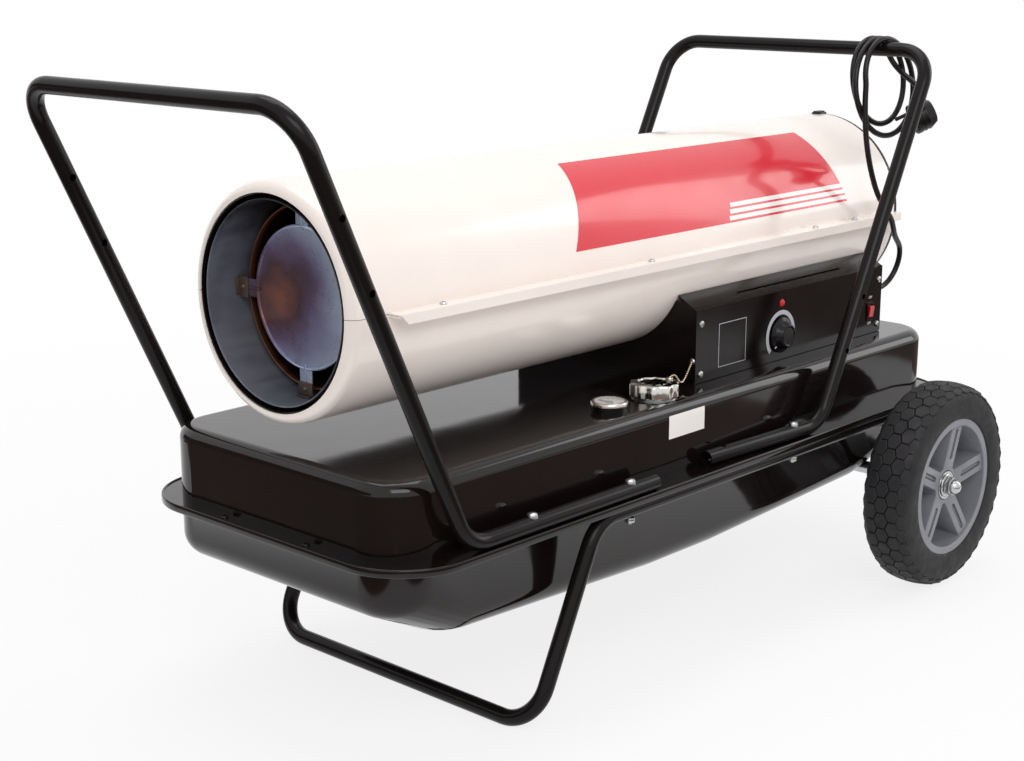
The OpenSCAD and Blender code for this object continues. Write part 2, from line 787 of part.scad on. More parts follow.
// Saddle between the motor and the lower half of the barrel
module motor_bracket() {
    half_w = 0.4 * motor_d;
    half_gap = half_w - 14;
    color("#55585c") difference() {
        intersection() {
            rod_x(motor_x + 18, pump_x - 18, shell_in_r - 0.2, 0, barrel_z);
            translate([motor_x, -half_w, barrel_z - barrel_r]) cube([motor_l, 2 * half_w, barrel_r - motor_d / 4]);
        }
        rod_x(motor_x, pump_x, motor_d / 2 + 0.2, 0, barrel_z);
        translate([motor_x, -half_gap, barrel_z - barrel_r - 1]) cube([motor_l, 2 * half_gap, barrel_r]);
    }
}

module pump_body() {
    color("#a8abae") difference() {
        rod_x(pump_x, pump_x + pump_l, pump_r, 0, barrel_z);
        rod_x(pump_x + 4, pump_x + pump_l + 1, rotor_r + 5, 0, barrel_z - 4);
        rod_x(pump_x - 1, pump_x + pump_l, shaft_d / 2 + run_fit, 0, barrel_z);
    }
}

module pump_rotor() {
    slot_count = 4;
    color("#44464a") difference() {
        rod_x(pump_x + 5, pump_x + 5 + rotor_l, rotor_r, 0, barrel_z);
        rod_x(pump_x, pump_x + pump_l, shaft_d / 2 + slip / 2, 0, barrel_z);
        for (i = [0 : slot_count - 1]) translate([pump_x, 0, barrel_z]) rotate([i * 360 / slot_count, 0, 0])
            translate([0, -2, rotor_r - 9]) cube([pump_l, 4, 12]);
    }
}

module pump_cover() {
    color("#8f9296") difference() {
        union() {
            rod_x(pump_x + pump_l, pump_x + pump_l + pump_cover_l, pump_r, 0, barrel_z);
            rod_x(pump_x + pump_l, pump_x + pump_l + pump_cover_l + 8, 12, 18, barrel_z + 12);
        }
        for (a = [0 : 60 : 300]) translate([0, 0, barrel_z]) rotate([a, 0, 0])
            rod_x(pump_x + pump_l + 4, pump_x + pump_l + pump_cover_l + 1, 2, 0, pump_r - 6);
    }
}

module air_line() {
    route = [[pump_x + pump_l / 2, 0, barrel_z - pump_r], [pump_x + pump_l / 2, 0, air_line_z],
             [air_line_x, 0, air_line_z], [air_line_x, 0, barrel_z - burner_block_w / 2]];
    color("#b87333") bent_tube(route, line_bend, line_d, 1);
}

module fuel_line() {
    low = seam_z - tank_low_h + 8;
    color("#b87333") translate([fuel_line_x, 0, 0]) difference() {
        union() {
            translate([0, 0, low]) cylinder(d = line_d, h = barrel_z - burner_block_w / 2 - low);
            translate([0, 0, low]) cylinder(r = 9, h = 14);
            translate([0, 0, deck_z]) cylinder(r = 8, h = 5, $fn = 6);
        }
        translate([0, 0, low - 1]) cylinder(d = line_d - 2, h = barrel_z);
    }
}

module intake_guard() {
    ring_pitch = 18;
    color("#161616") translate([barrel_rear_x, 0, barrel_z]) {
        pipe_x(0, guard_t, barrel_r, barrel_r - 5, 0);
        for (r = [2 * ring_pitch : ring_pitch : barrel_r - 12]) pipe_x(guard_t - 3, guard_t, r, r - 2.5, 0);
        for (a = [0 : 45 : 315]) rotate([a, 0, 0])
            translate([guard_t - 2.6, -1.5, ring_pitch - 2]) cube([2.2, 3, barrel_r - ring_pitch - 1]);
        rod_x(guard_t - 3, guard_t, ring_pitch);
    }
}

// Side of the control box in the Y-Z plane: upright, then sloped in to the barrel
module box_side(y) {
    slope_in = box_y - sqrt((barrel_r + 1) ^ 2 - (barrel_z - box_top_z - slope_h) ^ 2);
    polygon([[y, 0], [y, box_h], [y - slope_in, box_h + slope_h],
             [y - slope_in - 0.4 * box_sheet, box_h + slope_h - box_sheet],
             [y - box_sheet, box_h - box_sheet / 2], [y - box_sheet, 0]]);
}

module box_extrude(x0, x1) {
    translate([x0, 0, deck_z]) rotate([90, 0, 90]) linear_extrude(x1 - x0) children();
}

module end_plate() {
    half = box_y - box_sheet;
    difference() {
        polygon([[-half, 0], [half, 0], [half, box_h - 1], [half - 16, box_h + slope_h - 7],
                 [16 - half, box_h + slope_h - 7], [-half, box_h - 1]]);
        translate([0, barrel_z - deck_z]) circle(barrel_r + 2 * slip);
    }
}

module pedestal() {
    wall = 2 * (box_y - box_sheet);
    color("#151515") difference() {
        union() {
            box_extrude(box_x, box_x + box_sheet) end_plate();
            box_extrude(box_end - box_sheet, box_end) end_plate();
            translate([box_x, -wall / 2, deck_z]) cube([box_l, wall, box_sheet]);
            box_extrude(box_x, box_end) box_side(box_y);
            for (x = [panel_screw_x[0] - 8, panel_screw_x[1] - 9], z = panel_screw_z)
                translate([x, -wall / 2, z - 7]) cube([17, 1.2, 14]);
        }
        translate([fuel_line_x, 0, deck_z]) cylinder(r = 10, h = 10, center = true);
        for (x = panel_screw_x, z = panel_screw_z) rod_y(-box_y - 1, -box_y + 12, 2.3, x, z);
    }
}

module control_panel() {
    slot_l = 215;
    slot_w = 2.5;
    slot_x = box_x + 92;
    color("#181818") difference() {
        mirror([0, 1, 0]) box_extrude(box_x, box_end) box_side(box_y);
        translate([box_x - 1, -box_y - 1, deck_z - 1]) cube([box_l + 2, 5, 2]);
        rod_y(-box_y - 5, -box_y + 5, 4, knob_x, knob_z);
        rod_y(-box_y - 5, -box_y + 5, 3.2, knob_x, lamp_z);
        translate([switch_x - 6.2, -box_y - 5, switch_z - 10.2]) cube([12.4, 10, 20.4]);
        for (x = panel_screw_x, z = panel_screw_z) rod_y(-box_y - 1, -box_y + 12, 2.3, x, z);
        translate([slot_x, -box_y + 10, deck_z + box_h + slope_h / 2 - 3]) cube([slot_l, slot_w, 10]);
    }
}

module thermostat_body() {
    back = -box_y + box_sheet;
    color("#d8d2c4") difference() {
        translate([knob_x - 16, back, knob_z - 16]) cube([32, 22, 32]);
        rod_y(back - 1, back + 18, 3 + run_fit, knob_x, knob_z);
    }
}

// Low cone on a flat foot, with the spindle behind
module thermostat_knob() {
    face = -box_y;
    foot_t = 3;
    color("#101010") {
        rod_y(face - foot_t, face - 0.6, knob_d / 2, knob_x, knob_z);
        translate([knob_x, face - foot_t, knob_z]) rotate([90, 0, 0])
            cylinder(d1 = knob_d, d2 = knob_top_d, h = knob_h - foot_t);
        rod_y(face - foot_t, face + 14, 3, knob_x, knob_z);
    }
}

module pilot_lamp() {
    color("#c01818") {
        rod_y(-box_y - 2.5, -box_y, 4.5, knob_x, lamp_z);
        rod_y(-box_y - 1, -box_y + 12, 3, knob_x, lamp_z);
    }
}

module switch_housing() {
    face = -box_y;
    color("#0e0e0e") difference() {
        union() {
            translate([switch_x - 7.5, face - 1.4, switch_z - 11.5]) cube([15, 1.4, 23]);
            translate([switch_x - 6, face - 1, switch_z - 10]) cube([12, 18, 20]);
        }
        translate([switch_x - 5, face - 2, switch_z - 9]) cube([10, 10, 18]);
        rod_x(switch_x - 5.6, switch_x + 5.6, 1.2, face + 1.5, switch_z);
    }
}

// Rocker, resting with its lower edge pressed in
module switch_rocker() {
    rest_tilt = 9;
    color("#d02020") translate([switch_x, -box_y + 1.5, switch_z]) {
        rod_x(-5.4, 5.4, 1.15);
        rotate([rest_tilt, 0, 0]) intersection() {
            translate([-4.6, -5, -7.6]) cube([9.2, 8, 15.2]);
            translate([-5, 0, 0]) rotate([0, 90, 0]) cylinder(r = 8.2, h = 10);
        }
    }
}

module circuit_board() {
    y0 = -box_y + 42;
    board_z = deck_z + box_sheet;
    color("#1f5a35") {
        translate([box_x + 40, y0, board_z]) cube([90, 1.6, 24]);
        for (x = [12, 40, 62]) translate([box_x + 40 + x, y0 - 7, board_z + 8]) cube([14, 7, 12]);
    }
}

module ignition_transformer() {
    color("#2b2d30") translate([box_end - 150, 40, deck_z + box_sheet]) {
        cube([70, 50, 26]);
        translate([20, 25, 25]) cylinder(r = 5, h = 5);
        translate([50, 25, 25]) cylinder(r = 5, h = 5);
    }
}

module cord_gland() {
    color("#121212") translate([box_end, gland_y, gland_z]) rotate([0, 90, 0]) {
        cylinder(r = 10, h = 4, $fn = 6);
        translate([0, 0, 3]) cylinder(r1 = 7.5, r2 = cord_d / 2 + 1, h = gland_l - 3);
    }
}

module cord_lead() {
    color("#101010") swept_cord(lead_path, cord_d, 10);
}

module cord_hank() {
    color("#121212") swept_cord(hank_path, cord_d, 6);
}

module cord_tail() {
    color("#101010") swept_cord(smooth(tail_route, 2), cord_d, 10);
}

// Angled plug: the cord enters its edge and the pins leave its face
module plug() {
    start = tail_route[len(tail_route) - 1];
    neck = unit(plug_at - start);
    body_r = 19;
    body_t = 28;
    color("#141414") difference() {
        union() {
            stand(start, neck) cylinder(r1 = cord_d / 2 + 1.5, r2 = 8, h = norm(plug_at - start) - 6);
            stand(plug_at, plug_face) {
                translate([0, 0, -body_t / 2]) cylinder(r1 = body_r - 5, r2 = body_r, h = 10);
                translate([0, 0, 10 - body_t / 2]) cylinder(r = body_r, h = body_t - 10);
                for (y = [-9.5, 9.5]) translate([0, y, 0]) cylinder(r = 2.4, h = body_t / 2 + 19);
            }
        }
        stand(plug_at, plug_face) for (y = [-1, 1])
            translate([-4, y * (body_r - 1.5) - 2, -6]) cube([8, 4, body_t]);
    }
}

module leg_holes(bend_x, top_dir, distances) {
    both_sides() for (s = distances) {
        p = [bend_x, 0, foot_z] + top_dir * s;
        rod_y(-tube_y - tube_d, -tube_y + tube_d, leg_hole_r, p.x, p.z);
    }
}

module front_handle() {
    route = [[front_foot_x, -tube_y, foot_z], [front_bend_x, -tube_y, foot_z], [front_top_x, -tube_y, front_top_z],
             [front_top_x, tube_y, front_top_z], [front_bend_x, tube_y, foot_z], [front_foot_x, tube_y, foot_z]];
    color("#1a1614") difference() {
        bent_tube(route, tube_bend, tube_d, tube_wall);
        foot_bolt_holes();
        leg_holes(front_bend_x, front_leg_dir, front_leg_holes);
    }
}

module rear_handle() {
    end_y = tube_y - rear_foot_in;
    route = [[rear_foot_x, -end_y, foot_z], [rear_bend_x, -tube_y, foot_z], [rear_top_x, -tube_y, rear_top_z],
             [rear_top_x, tube_y, rear_top_z], [rear_bend_x, tube_y, foot_z], [rear_foot_x, end_y, foot_z]];
    color("#1a1614") difference() {
        bent_tube(route, tube_bend, tube_d, tube_wall);
        foot_bolt_holes();
        both_sides() translate([rear_spare_hole, -foot_y(rear_spare_hole), foot_z])
            cylinder(r = foot_bolt_d / 2 + drill_fit, h = 2 * tube_d, center = true);
        leg_holes(rear_bend_x, rear_leg_dir, rear_leg_holes);
    }
}

// Floor bar, risers and the two runs under the flange that carry the axle plates
module undercarriage() {
    run_end = axle_x + 30;
    plate_w = 44;
    route = [[run_end, -tube_y, run_z], [leg_bend_x, -tube_y, run_z], [leg_floor_x, -tube_y, tube_r],
             [leg_floor_x, tube_y, tube_r], [leg_bend_x, tube_y, run_z], [run_end, tube_y, run_z]];
    color("#1a1614") difference() {
        union() {
            bent_tube(route, tube_bend, tube_d, tube_wall);
            both_sides() translate([axle_x - plate_w / 2, -tube_y - axle_plate_t / 2, axle_z - axle_d])
                cube([plate_w, axle_plate_t, run_z - tube_r + tube_wall / 2 - axle_z + axle_d]);
        }
        foot_bolt_holes();
        rod_y(-tube_y - 20, tube_y + 20, axle_d / 2 + 0.2, axle_x, axle_z);
    }
}

module foot_bolt(top, low) {
    translate([0, 0, top]) cylinder(d = 1.9 * foot_bolt_d, h = 4);
    translate([0, 0, low]) cylinder(d = foot_bolt_d, h = top - low + 1);
}

module hex_nut(z, bore) {
    translate([0, 0, z]) difference() {
        cylinder(d = 2 * foot_bolt_d, h = 5, $fn = 6);
        translate([0, 0, -1]) cylinder(d = bore, h = 7);
    }
}

module handle_bolts() {
    top = foot_z + tube_r + 0.1;
    under_run = run_z - tube_r - 0.1;
    under_flange = seam_z - tank_sheet - 0.1;
    nut_bore = foot_bolt_d + 0.2;
    color("#c9c9c6") both_sides() {
        translate([front_foot_bolts[0], -tube_y, 0]) {
            foot_bolt(top, under_flange - 25);
            hex_nut(under_flange - 5, nut_bore);
        }
        translate([front_foot_bolts[1], -tube_y, 0]) {
            foot_bolt(top, under_run - 7);
            hex_nut(under_run - 5, nut_bore);
        }
        translate([rear_foot_bolt, -foot_y(rear_foot_bolt), 0]) {
            foot_bolt(top, under_run - 7);
            hex_nut(under_run - 5, nut_bore);
        }
    }
}

// Through axle with a collar between each plate and its wheel
module axle() {
    collar_in = tube_y + axle_plate_t / 2 + 0.2;
    collar_out = wheel_y - rim_w / 2 - 0.4;
    color("#b9bcc0") {
        rod_y(-axle_end_y, axle_end_y, axle_d / 2, axle_x, axle_z);
        both_sides() rod_y(-collar_out, -collar_in, axle_d / 2 + 3, axle_x, axle_z);
    }
}

module axle_fasteners() {
    washer_t = 2;
    seat = wheel_y + rim_w / 2 - hub_inset + 0.2;
    nut_r = axle_d / 2 + 4;
    dome_r = axle_d / 2 + 2.4;
    color("#d0d2d2") both_sides() {
        difference() {
            rod_y(-seat - washer_t, -seat, bearing_r - 3, axle_x, axle_z);
            rod_y(-seat - washer_t - 1, -seat + 1, axle_d / 2 + 0.4, axle_x, axle_z);
        }
        difference() {
            union() {
                translate([axle_x, -seat - washer_t - 0.2, axle_z]) rotate([90, 0, 0])
                    cylinder(r = nut_r, h = 7, $fn = 6);
                translate([axle_x, -seat - washer_t - 7, axle_z]) rotate([90, 0, 0]) rotate_extrude() intersection() {
                    circle(dome_r);
                    square(dome_r);
                }
            }
            rod_y(-axle_end_y - 0.3, 0, axle_d / 2 + 0.4, axle_x, axle_z);
        }
    }
}

module tyre(side) {
    crown = 16;
    r = wheel_d / 2;
    color("#232326") translate([axle_x, side * wheel_y, axle_z]) rotate([90, 0, 0]) rotate_extrude() difference() {
        union() {
            translate([rim_d / 2, -tyre_w / 2]) square([r - crown - rim_d / 2, tyre_w]);
            translate([r - crown - eps, -tyre_w / 2 + crown]) square([crown + eps, tyre_w - 2 * crown]);
            for (s = [-1, 1]) translate([r - crown, s * (tyre_w / 2 - crown)]) circle(crown);
        }
        square([rim_d, tyre_w + 2], center = true);
        for (s = [-1, 1]) translate([r, s * tyre_w / 6]) square([10, 3], center = true);
    }
}

module near_tyre() { tyre(-1); }

module far_tyre() { tyre(1); }

// Moulded rim with slotted spokes, its open face outwards
module rim(side) {
    r = rim_d / 2;
    ring = 9;
    spoke_w = 24;
    face = rim_w / 2;
    web_z = 14 - face;
    web_t = 3;
    hub_top = face - hub_inset;
    spoke_turn = 84;
    spoke_in = hub_r - 3;
    spoke_out = r - ring + 2;
    groove_depth = 4;
    function spoke_top(x) = hub_top + (face - 3 - hub_top) * (x - spoke_in) / (spoke_out - spoke_in);
    groove = [hub_r + 8, r - ring - 8];
    color("#8c8d92") translate([axle_x, side * wheel_y, axle_z]) rotate([side < 0 ? 90 : -90, 0, 0]) difference() {
        union() {
            rotate_extrude() difference() {
                union() {
                    translate([0, -face]) square([hub_r, hub_top + face]);
                    translate([0, web_z]) square([r - 1, web_t]);
                    translate([r - ring, -face]) square([ring, rim_w]);
                }
                translate([-1, -face - 1]) square([axle_d / 2 + 4, rim_w + 2]);
                translate([-1, -face - 1]) square([bearing_r + 1, bearing_w + 1]);
                translate([-1, hub_top - bearing_w]) square([bearing_r + 1, bearing_w + 1]);
            }
            for (i = [0 : spokes - 1]) rotate(i * 360 / spokes - side * spoke_turn) rotate([90, 0, 0])
                linear_extrude(spoke_w, center = true) polygon([
                    [spoke_in, web_z + 1], [spoke_out, web_z + 1],
                    [spoke_out, spoke_top(spoke_out)], [spoke_in, spoke_top(spoke_in)]
                ]);
        }
        for (i = [0 : spokes - 1]) rotate(i * 360 / spokes - side * spoke_turn) rotate([90, 0, 0])
            linear_extrude(5, center = true) polygon([
                [groove[0], spoke_top(groove[0]) - groove_depth], [groove[1], spoke_top(groove[1]) - groove_depth],
                [groove[1], face + 1], [groove[0], face + 1]
            ]);
    }
}

module near_rim() { rim(-1); }

module far_rim() { rim(1); }

module bearings(side) {
    in = wheel_y - rim_w / 2;
    out = wheel_y + rim_w / 2 - hub_inset;
    color("#c4c6c8") for (y = [in, out - bearing_w]) mirror([0, side < 0 ? 1 : 0, 0]) difference() {
        rod_y(y + 0.2, y + bearing_w - 0.2, bearing_r, axle_x, axle_z);
        rod_y(y - 1, y + bearing_w + 1, axle_d / 2 + run_fit, axle_x, axle_z);
        for (face = [y, y + bearing_w]) difference() {
            rod_y(face - 1, face + 1, bearing_r - 3, axle_x, axle_z);
            rod_y(face - 2, face + 2, axle_d / 2 + 3, axle_x, axle_z);
        }
    }
}

module near_bearings() { bearings(-1); }

module far_bearings() { bearings(1); }

tank_upper();
tank_lower();
drain_plug();
filler_neck();
cap_seal();
fuel_cap();
cap_chain();
gauge_grommet();
gauge_bezel();
gauge_needle();
gauge_stem();
gauge_float();
upper_shell();
lower_shell();
casing_screws();
heat_liner();
combustion_chamber();
stand_offs();
baffle_disc();
burner_head();
nozzle_block();
igniter();
flame_sensor();
fan();
motor_shaft();
motor();
motor_bracket();
pump_body();
pump_rotor();
pump_cover();
air_line();
fuel_line();
intake_guard();
pedestal();
control_panel();
thermostat_body();
thermostat_knob();
pilot_lamp();
switch_housing();
switch_rocker();
circuit_board();
ignition_transformer();
cord_gland();
cord_lead();
cord_hank();
cord_tail();
plug();
front_handle();
rear_handle();
undercarriage();
handle_bolts();
axle();
axle_fasteners();
near_tyre();
near_rim();
near_bearings();
far_tyre();
far_rim();
far_bearings();
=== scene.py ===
"""Looks of a forced-air kerosene heater on a two-wheeled frame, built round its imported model.

Blender works in metres; the heater's sizes are written in millimetres. Floor at z = 0, hot air leaves
at -X, controls face -Y.
"""

import math

import bpy
from mathutils import Matrix, Vector


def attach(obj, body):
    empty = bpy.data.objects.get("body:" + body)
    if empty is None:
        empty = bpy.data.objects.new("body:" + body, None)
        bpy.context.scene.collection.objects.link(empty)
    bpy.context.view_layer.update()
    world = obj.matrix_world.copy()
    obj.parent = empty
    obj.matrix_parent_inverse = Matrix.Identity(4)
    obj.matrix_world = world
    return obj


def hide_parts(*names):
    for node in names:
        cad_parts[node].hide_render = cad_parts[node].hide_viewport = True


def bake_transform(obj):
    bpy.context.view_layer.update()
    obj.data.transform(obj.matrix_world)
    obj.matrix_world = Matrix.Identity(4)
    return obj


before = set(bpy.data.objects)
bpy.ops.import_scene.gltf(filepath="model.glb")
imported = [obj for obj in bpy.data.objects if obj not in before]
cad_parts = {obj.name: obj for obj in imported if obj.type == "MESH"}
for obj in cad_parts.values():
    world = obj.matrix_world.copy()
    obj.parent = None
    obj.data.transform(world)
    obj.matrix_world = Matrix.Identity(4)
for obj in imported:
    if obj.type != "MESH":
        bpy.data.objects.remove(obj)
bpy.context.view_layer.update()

# Sizes and places that several pieces share, in millimetres

MM = 0.001
BARREL_Z = 439
BARREL_R = 118
UPPER_Z = BARREL_Z + 0.3
MOUTH_X = -418
LINER_X = -416
BAFFLE_X = -377
CHAMBER_FRONT = -370
GUARD_X = 520
SEAM_Z = 214
TANK_X = 55
AXLE_X = 411
AXLE_Z = 127
WHEEL_Y = 258
NEAR_WHEEL = (AXLE_X, -WHEEL_Y, AXLE_Z)
PANEL_Y = -135
KNOB_X = 245
KNOB_Z = 322.5
KNOB_CENTRE = (KNOB_X, PANEL_Y, KNOB_Z)
CAP_X = 4
CAP_Y = -135


def mm(x, y, z):
    """A point given in millimetres."""
    return Vector((x, y, z)) * MM


# Camera, in metres and degrees; the focal length is in points of the photograph

SENSOR_WIDTH = 36
PICTURE_WIDTH = 1024
FOCAL_LENGTH = 1740.9
CAMERA_SPOT = (-1.4571, -1.2758, 0.7672)
CAMERA_DIP = 13.9
CAMERA_HEADING = -47.2


def set_camera():
    """The photograph's viewpoint, on a sensor that is as wide as the picture."""
    lens = bpy.data.cameras.new("camera")
    lens.sensor_width = SENSOR_WIDTH
    lens.lens = SENSOR_WIDTH * FOCAL_LENGTH / PICTURE_WIDTH
    lens.clip_end = 60
    camera = bpy.data.objects.new("camera", lens)
    camera.location = CAMERA_SPOT
    camera.rotation_euler = (math.radians(90 - CAMERA_DIP), 0, math.radians(CAMERA_HEADING))
    bpy.context.scene.collection.objects.link(camera)
    bpy.context.scene.camera = camera


# Finishes

FINISH = {}


def ink(red, green, blue):
    """A colour given by its screen values, 0 to 255, as the shader wants it."""
    def linear(value):
        value = value / 255
        if value <= 0.04045:
            return value / 12.92
        return ((value + 0.055) / 1.055) ** 2.4

    return (linear(red), linear(green), linear(blue), 1.0)


def shader_of(finish):
    """The surface shader of a finish."""
    return finish.node_tree.nodes["Principled BSDF"]


def new_finish(name, colour, roughness, metal=0.0, coat=0.0, specular=0.5):
    """A material with the constants of its shader set."""
    finish = bpy.data.materials.new(name)
    finish.use_nodes = True
    values = {
        "Base Color": ink(*colour), "Roughness": roughness, "Metallic": metal, "Coat Weight": coat,
        "Coat Roughness": 0.06, "Specular IOR Level": specular,
    }
    for socket, value in values.items():
        shader_of(finish).inputs[socket].default_value = value
    FINISH[name] = finish
    return finish


def node(finish, kind, inputs, **settings):
    """A node with its settings made, and each input linked or set."""
    made = finish.node_tree.nodes.new("ShaderNode" + kind)
    for name, value in settings.items():
        setattr(made, name, value)
    for name, value in inputs.items():
        if isinstance(value, bpy.types.NodeSocket):
            finish.node_tree.links.new(value, made.inputs[name])
        else:
            made.inputs[name].default_value = value
    return made


def place_on(finish, centre=(0, 0, 0), stretch=(1, 1, 1)):
    """Object coordinates measured from a centre in millimetres."""
    spot = node(finish, "TexCoord", {})
    shift = node(finish, "VectorMath", {0: spot.outputs["Object"], 1: mm(*centre)}, operation="SUBTRACT")
    scaled = node(finish, "VectorMath", {0: shift.outputs["Vector"], 1: stretch}, operation="MULTIPLY")
    return scaled.outputs["Vector"]


def cloud(finish, scale, detail=3.0, stretch=(1, 1, 1)):
    """Soft noise over a piece, drawn out along the axes with a small stretch."""
    spot = place_on(finish, stretch=stretch)
    return node(finish, "TexNoise", {"Vector": spot, "Scale": scale, "Detail": detail}).outputs["Fac"]


def away(finish, centre, stretch):
    """Distance from a centre, in the directions that the stretch keeps."""
    spot = place_on(finish, centre, stretch)
    return node(finish, "VectorMath", {0: spot}, operation="LENGTH").outputs["Value"]


def ranged(finish, driver, low, high, to_low, to_high):
    """The driver's span from low to high, mapped to another span."""
    span = {"Value": driver, "From Min": low, "From Max": high, "To Min": to_low, "To Max": to_high}
    return node(finish, "MapRange", span).outputs["Result"]


def plus(finish, one, other):
    """Sum of two drivers."""
    return node(finish, "Math", {0: one, 1: other}, operation="ADD").outputs["Value"]


def tint(finish, driver, stops):
    """Colours the surface by a driver, through (place, colour) stops."""
    ramp = node(finish, "ValToRGB", {"Fac": driver})
    marks = ramp.color_ramp.elements
    while len(marks) < len(stops):
        marks.new(0.5)
    for mark, (spot, colour) in zip(marks, stops):
        mark.position = spot
        mark.color = ink(*colour)
    finish.node_tree.links.new(ramp.outputs["Color"], shader_of(finish).inputs["Base Color"])


def gloss(finish, driver, low, high):
    """Roughness that wanders between two values."""
    rough = ranged(finish, driver, 0.3, 0.7, low, high)
    finish.node_tree.links.new(rough, shader_of(finish).inputs["Roughness"])


def relief(finish, driver, strength, depth):
    """Fine unevenness, depth in millimetres."""
    bump = node(finish, "Bump", {"Height": driver, "Strength": strength, "Distance": depth * MM})
    finish.node_tree.links.new(bump.outputs["Normal"], shader_of(finish).inputs["Normal"])


def paint(name, colour, shade, roughness, coat, specular, grain, peel, depth=0.2):
    """Sprayed paint: two close shades, a wandering gloss and a face from fine peel to soft waves."""
    finish = new_finish(name, colour, roughness, coat=coat, specular=specular)
    tint(finish, cloud(finish, 7), [(0.35, shade), (0.65, colour)])
    gloss(finish, cloud(finish, 24), roughness * 0.75, roughness * 1.3)
    relief(finish, cloud(finish, grain, 2), peel, depth)


def metal(name, colour, shade, roughness, grain, stretch=(1, 1, 1)):
    """Bare or plated metal with drawn grain and slight stains."""
    finish = new_finish(name, colour, roughness, metal=1.0)
    tint(finish, cloud(finish, 45, 4), [(0.3, shade), (0.7, colour)])
    gloss(finish, cloud(finish, grain, 3, stretch), roughness * 0.7, roughness * 1.4)
    relief(finish, cloud(finish, grain * 2, 2, stretch), 0.12, 0.1)


def moulded(name, colour, shade, roughness, grain, peel=0.25, specular=0.5):
    """Moulded plastic or rubber with a fine skin."""
    finish = new_finish(name, colour, roughness, specular=specular)
    tint(finish, cloud(finish, 30, 4), [(0.3, shade), (0.7, colour)])
    gloss(finish, cloud(finish, 80), roughness * 0.85, min(1.0, roughness * 1.2))
    relief(finish, cloud(finish, grain, 3), peel, 0.15)


def heat_and_shade_tinted(
    name, stops, centre, reach, roughness, streak, bare, dent, spread=(0.35, 1, 1), stain=0.28
):
    """Steel coloured in rings round a centre that the noise breaks up; on the liner they are painted
    light and shade.

    bare is its metal share, dent the depth of its soft dents in millimetres, spread how much each
    axis counts and stain how far the noise shifts the rings.
    """
    finish = new_finish(name, stops[0][1], roughness, metal=bare)
    ring = ranged(finish, away(finish, centre, spread), 0, reach * MM, 0, 1)
    patch = ranged(finish, cloud(finish, 14, 4), 0.3, 0.7, -stain, stain)
    tint(finish, plus(finish, ring, patch), stops)
    gloss(finish, cloud(finish, 60, 4, streak), roughness * 0.7, roughness * 1.5)
    relief(finish, cloud(finish, 16, 1), 0.5, dent)


def mix_finishes():
    """Every finish of the heater, named as the record's slots where it has one.

    Colour, second shade and roughness come first; the functions above name the rest.
    """
    paint("tank_black", (18, 13, 12), (24, 17, 15), 0.08, 0.2, 0.28, 9, 0.4, 1.6)
    paint("frame_black", (22, 18, 17), (17, 14, 14), 0.2, 0.0, 0.17, 900, 0.08)
    paint("barrel_white", (249, 238, 231), (245, 233, 226), 0.2, 0.35, 0.5, 260, 0.06)
    paint("box_black", (20, 14, 13), (16, 11, 10), 0.13, 0.0, 0.22, 1600, 0.08)
    paint("sign_red", (222, 36, 52), (214, 32, 48), 0.2, 0.4, 0.5, 260, 0.05)
    paint("sign_white", (246, 240, 236), (238, 232, 228), 0.22, 0.4, 0.5, 260, 0.05)
    paint("print_grey", (196, 198, 202), (182, 184, 190), 0.45, 0.0, 0.4, 900, 0.1)
    metal("zinc", (206, 208, 206), (178, 182, 184), 0.24, 220)
    metal("cap_chrome", (222, 220, 214), (206, 204, 198), 0.12, 120)
    metal("bezel_silver", (214, 208, 202), (194, 188, 182), 0.22, 260)
    metal("pump_alloy", (168, 171, 174), (146, 149, 153), 0.4, 160)
    metal("brass_parts", (196, 170, 112), (170, 142, 86), 0.26, 200)
    metal("bead_brass", (230, 212, 178), (208, 186, 150), 0.24, 200)
    metal("copper_line", (190, 118, 70), (150, 86, 52), 0.3, 140, (1, 1, 0.2))
    moulded("motor_grey", (58, 61, 66), (44, 47, 51), 0.5, 300)
    moulded("black_plastic", (18, 17, 18), (13, 12, 13), 0.24, 700, 0.1, 0.25)
    moulded("red_plastic", (206, 22, 30), (190, 16, 24), 0.1, 500, 0.03)
    moulded("white_plastic", (232, 228, 218), (222, 217, 206), 0.35, 500, 0.1)
    moulded("board_green", (31, 90, 53), (25, 76, 44), 0.5, 400)
    moulded("rim_grey", (136, 137, 143), (124, 125, 132), 0.42, 420, 0.2)
    moulded("tyre_rubber", (38, 36, 38), (29, 27, 30), 0.62, 240, 0.3, 0.35)
    moulded("cord_rubber", (22, 18, 18), (16, 13, 13), 0.28, 500, 0.1, 0.28)
    moulded("seal_rubber", (42, 42, 43), (34, 34, 35), 0.6, 400)
    mix_heat_and_shade_tints()
    moulded("card_brown", (112, 92, 84), (98, 80, 74), 0.9, 20)
    glass = new_finish("gauge_glass", (250, 250, 250), 0.03)
    shader_of(glass).inputs["Alpha"].default_value = 0.3
    relief(glass, cloud(glass, 90), 0.02, 0.1)


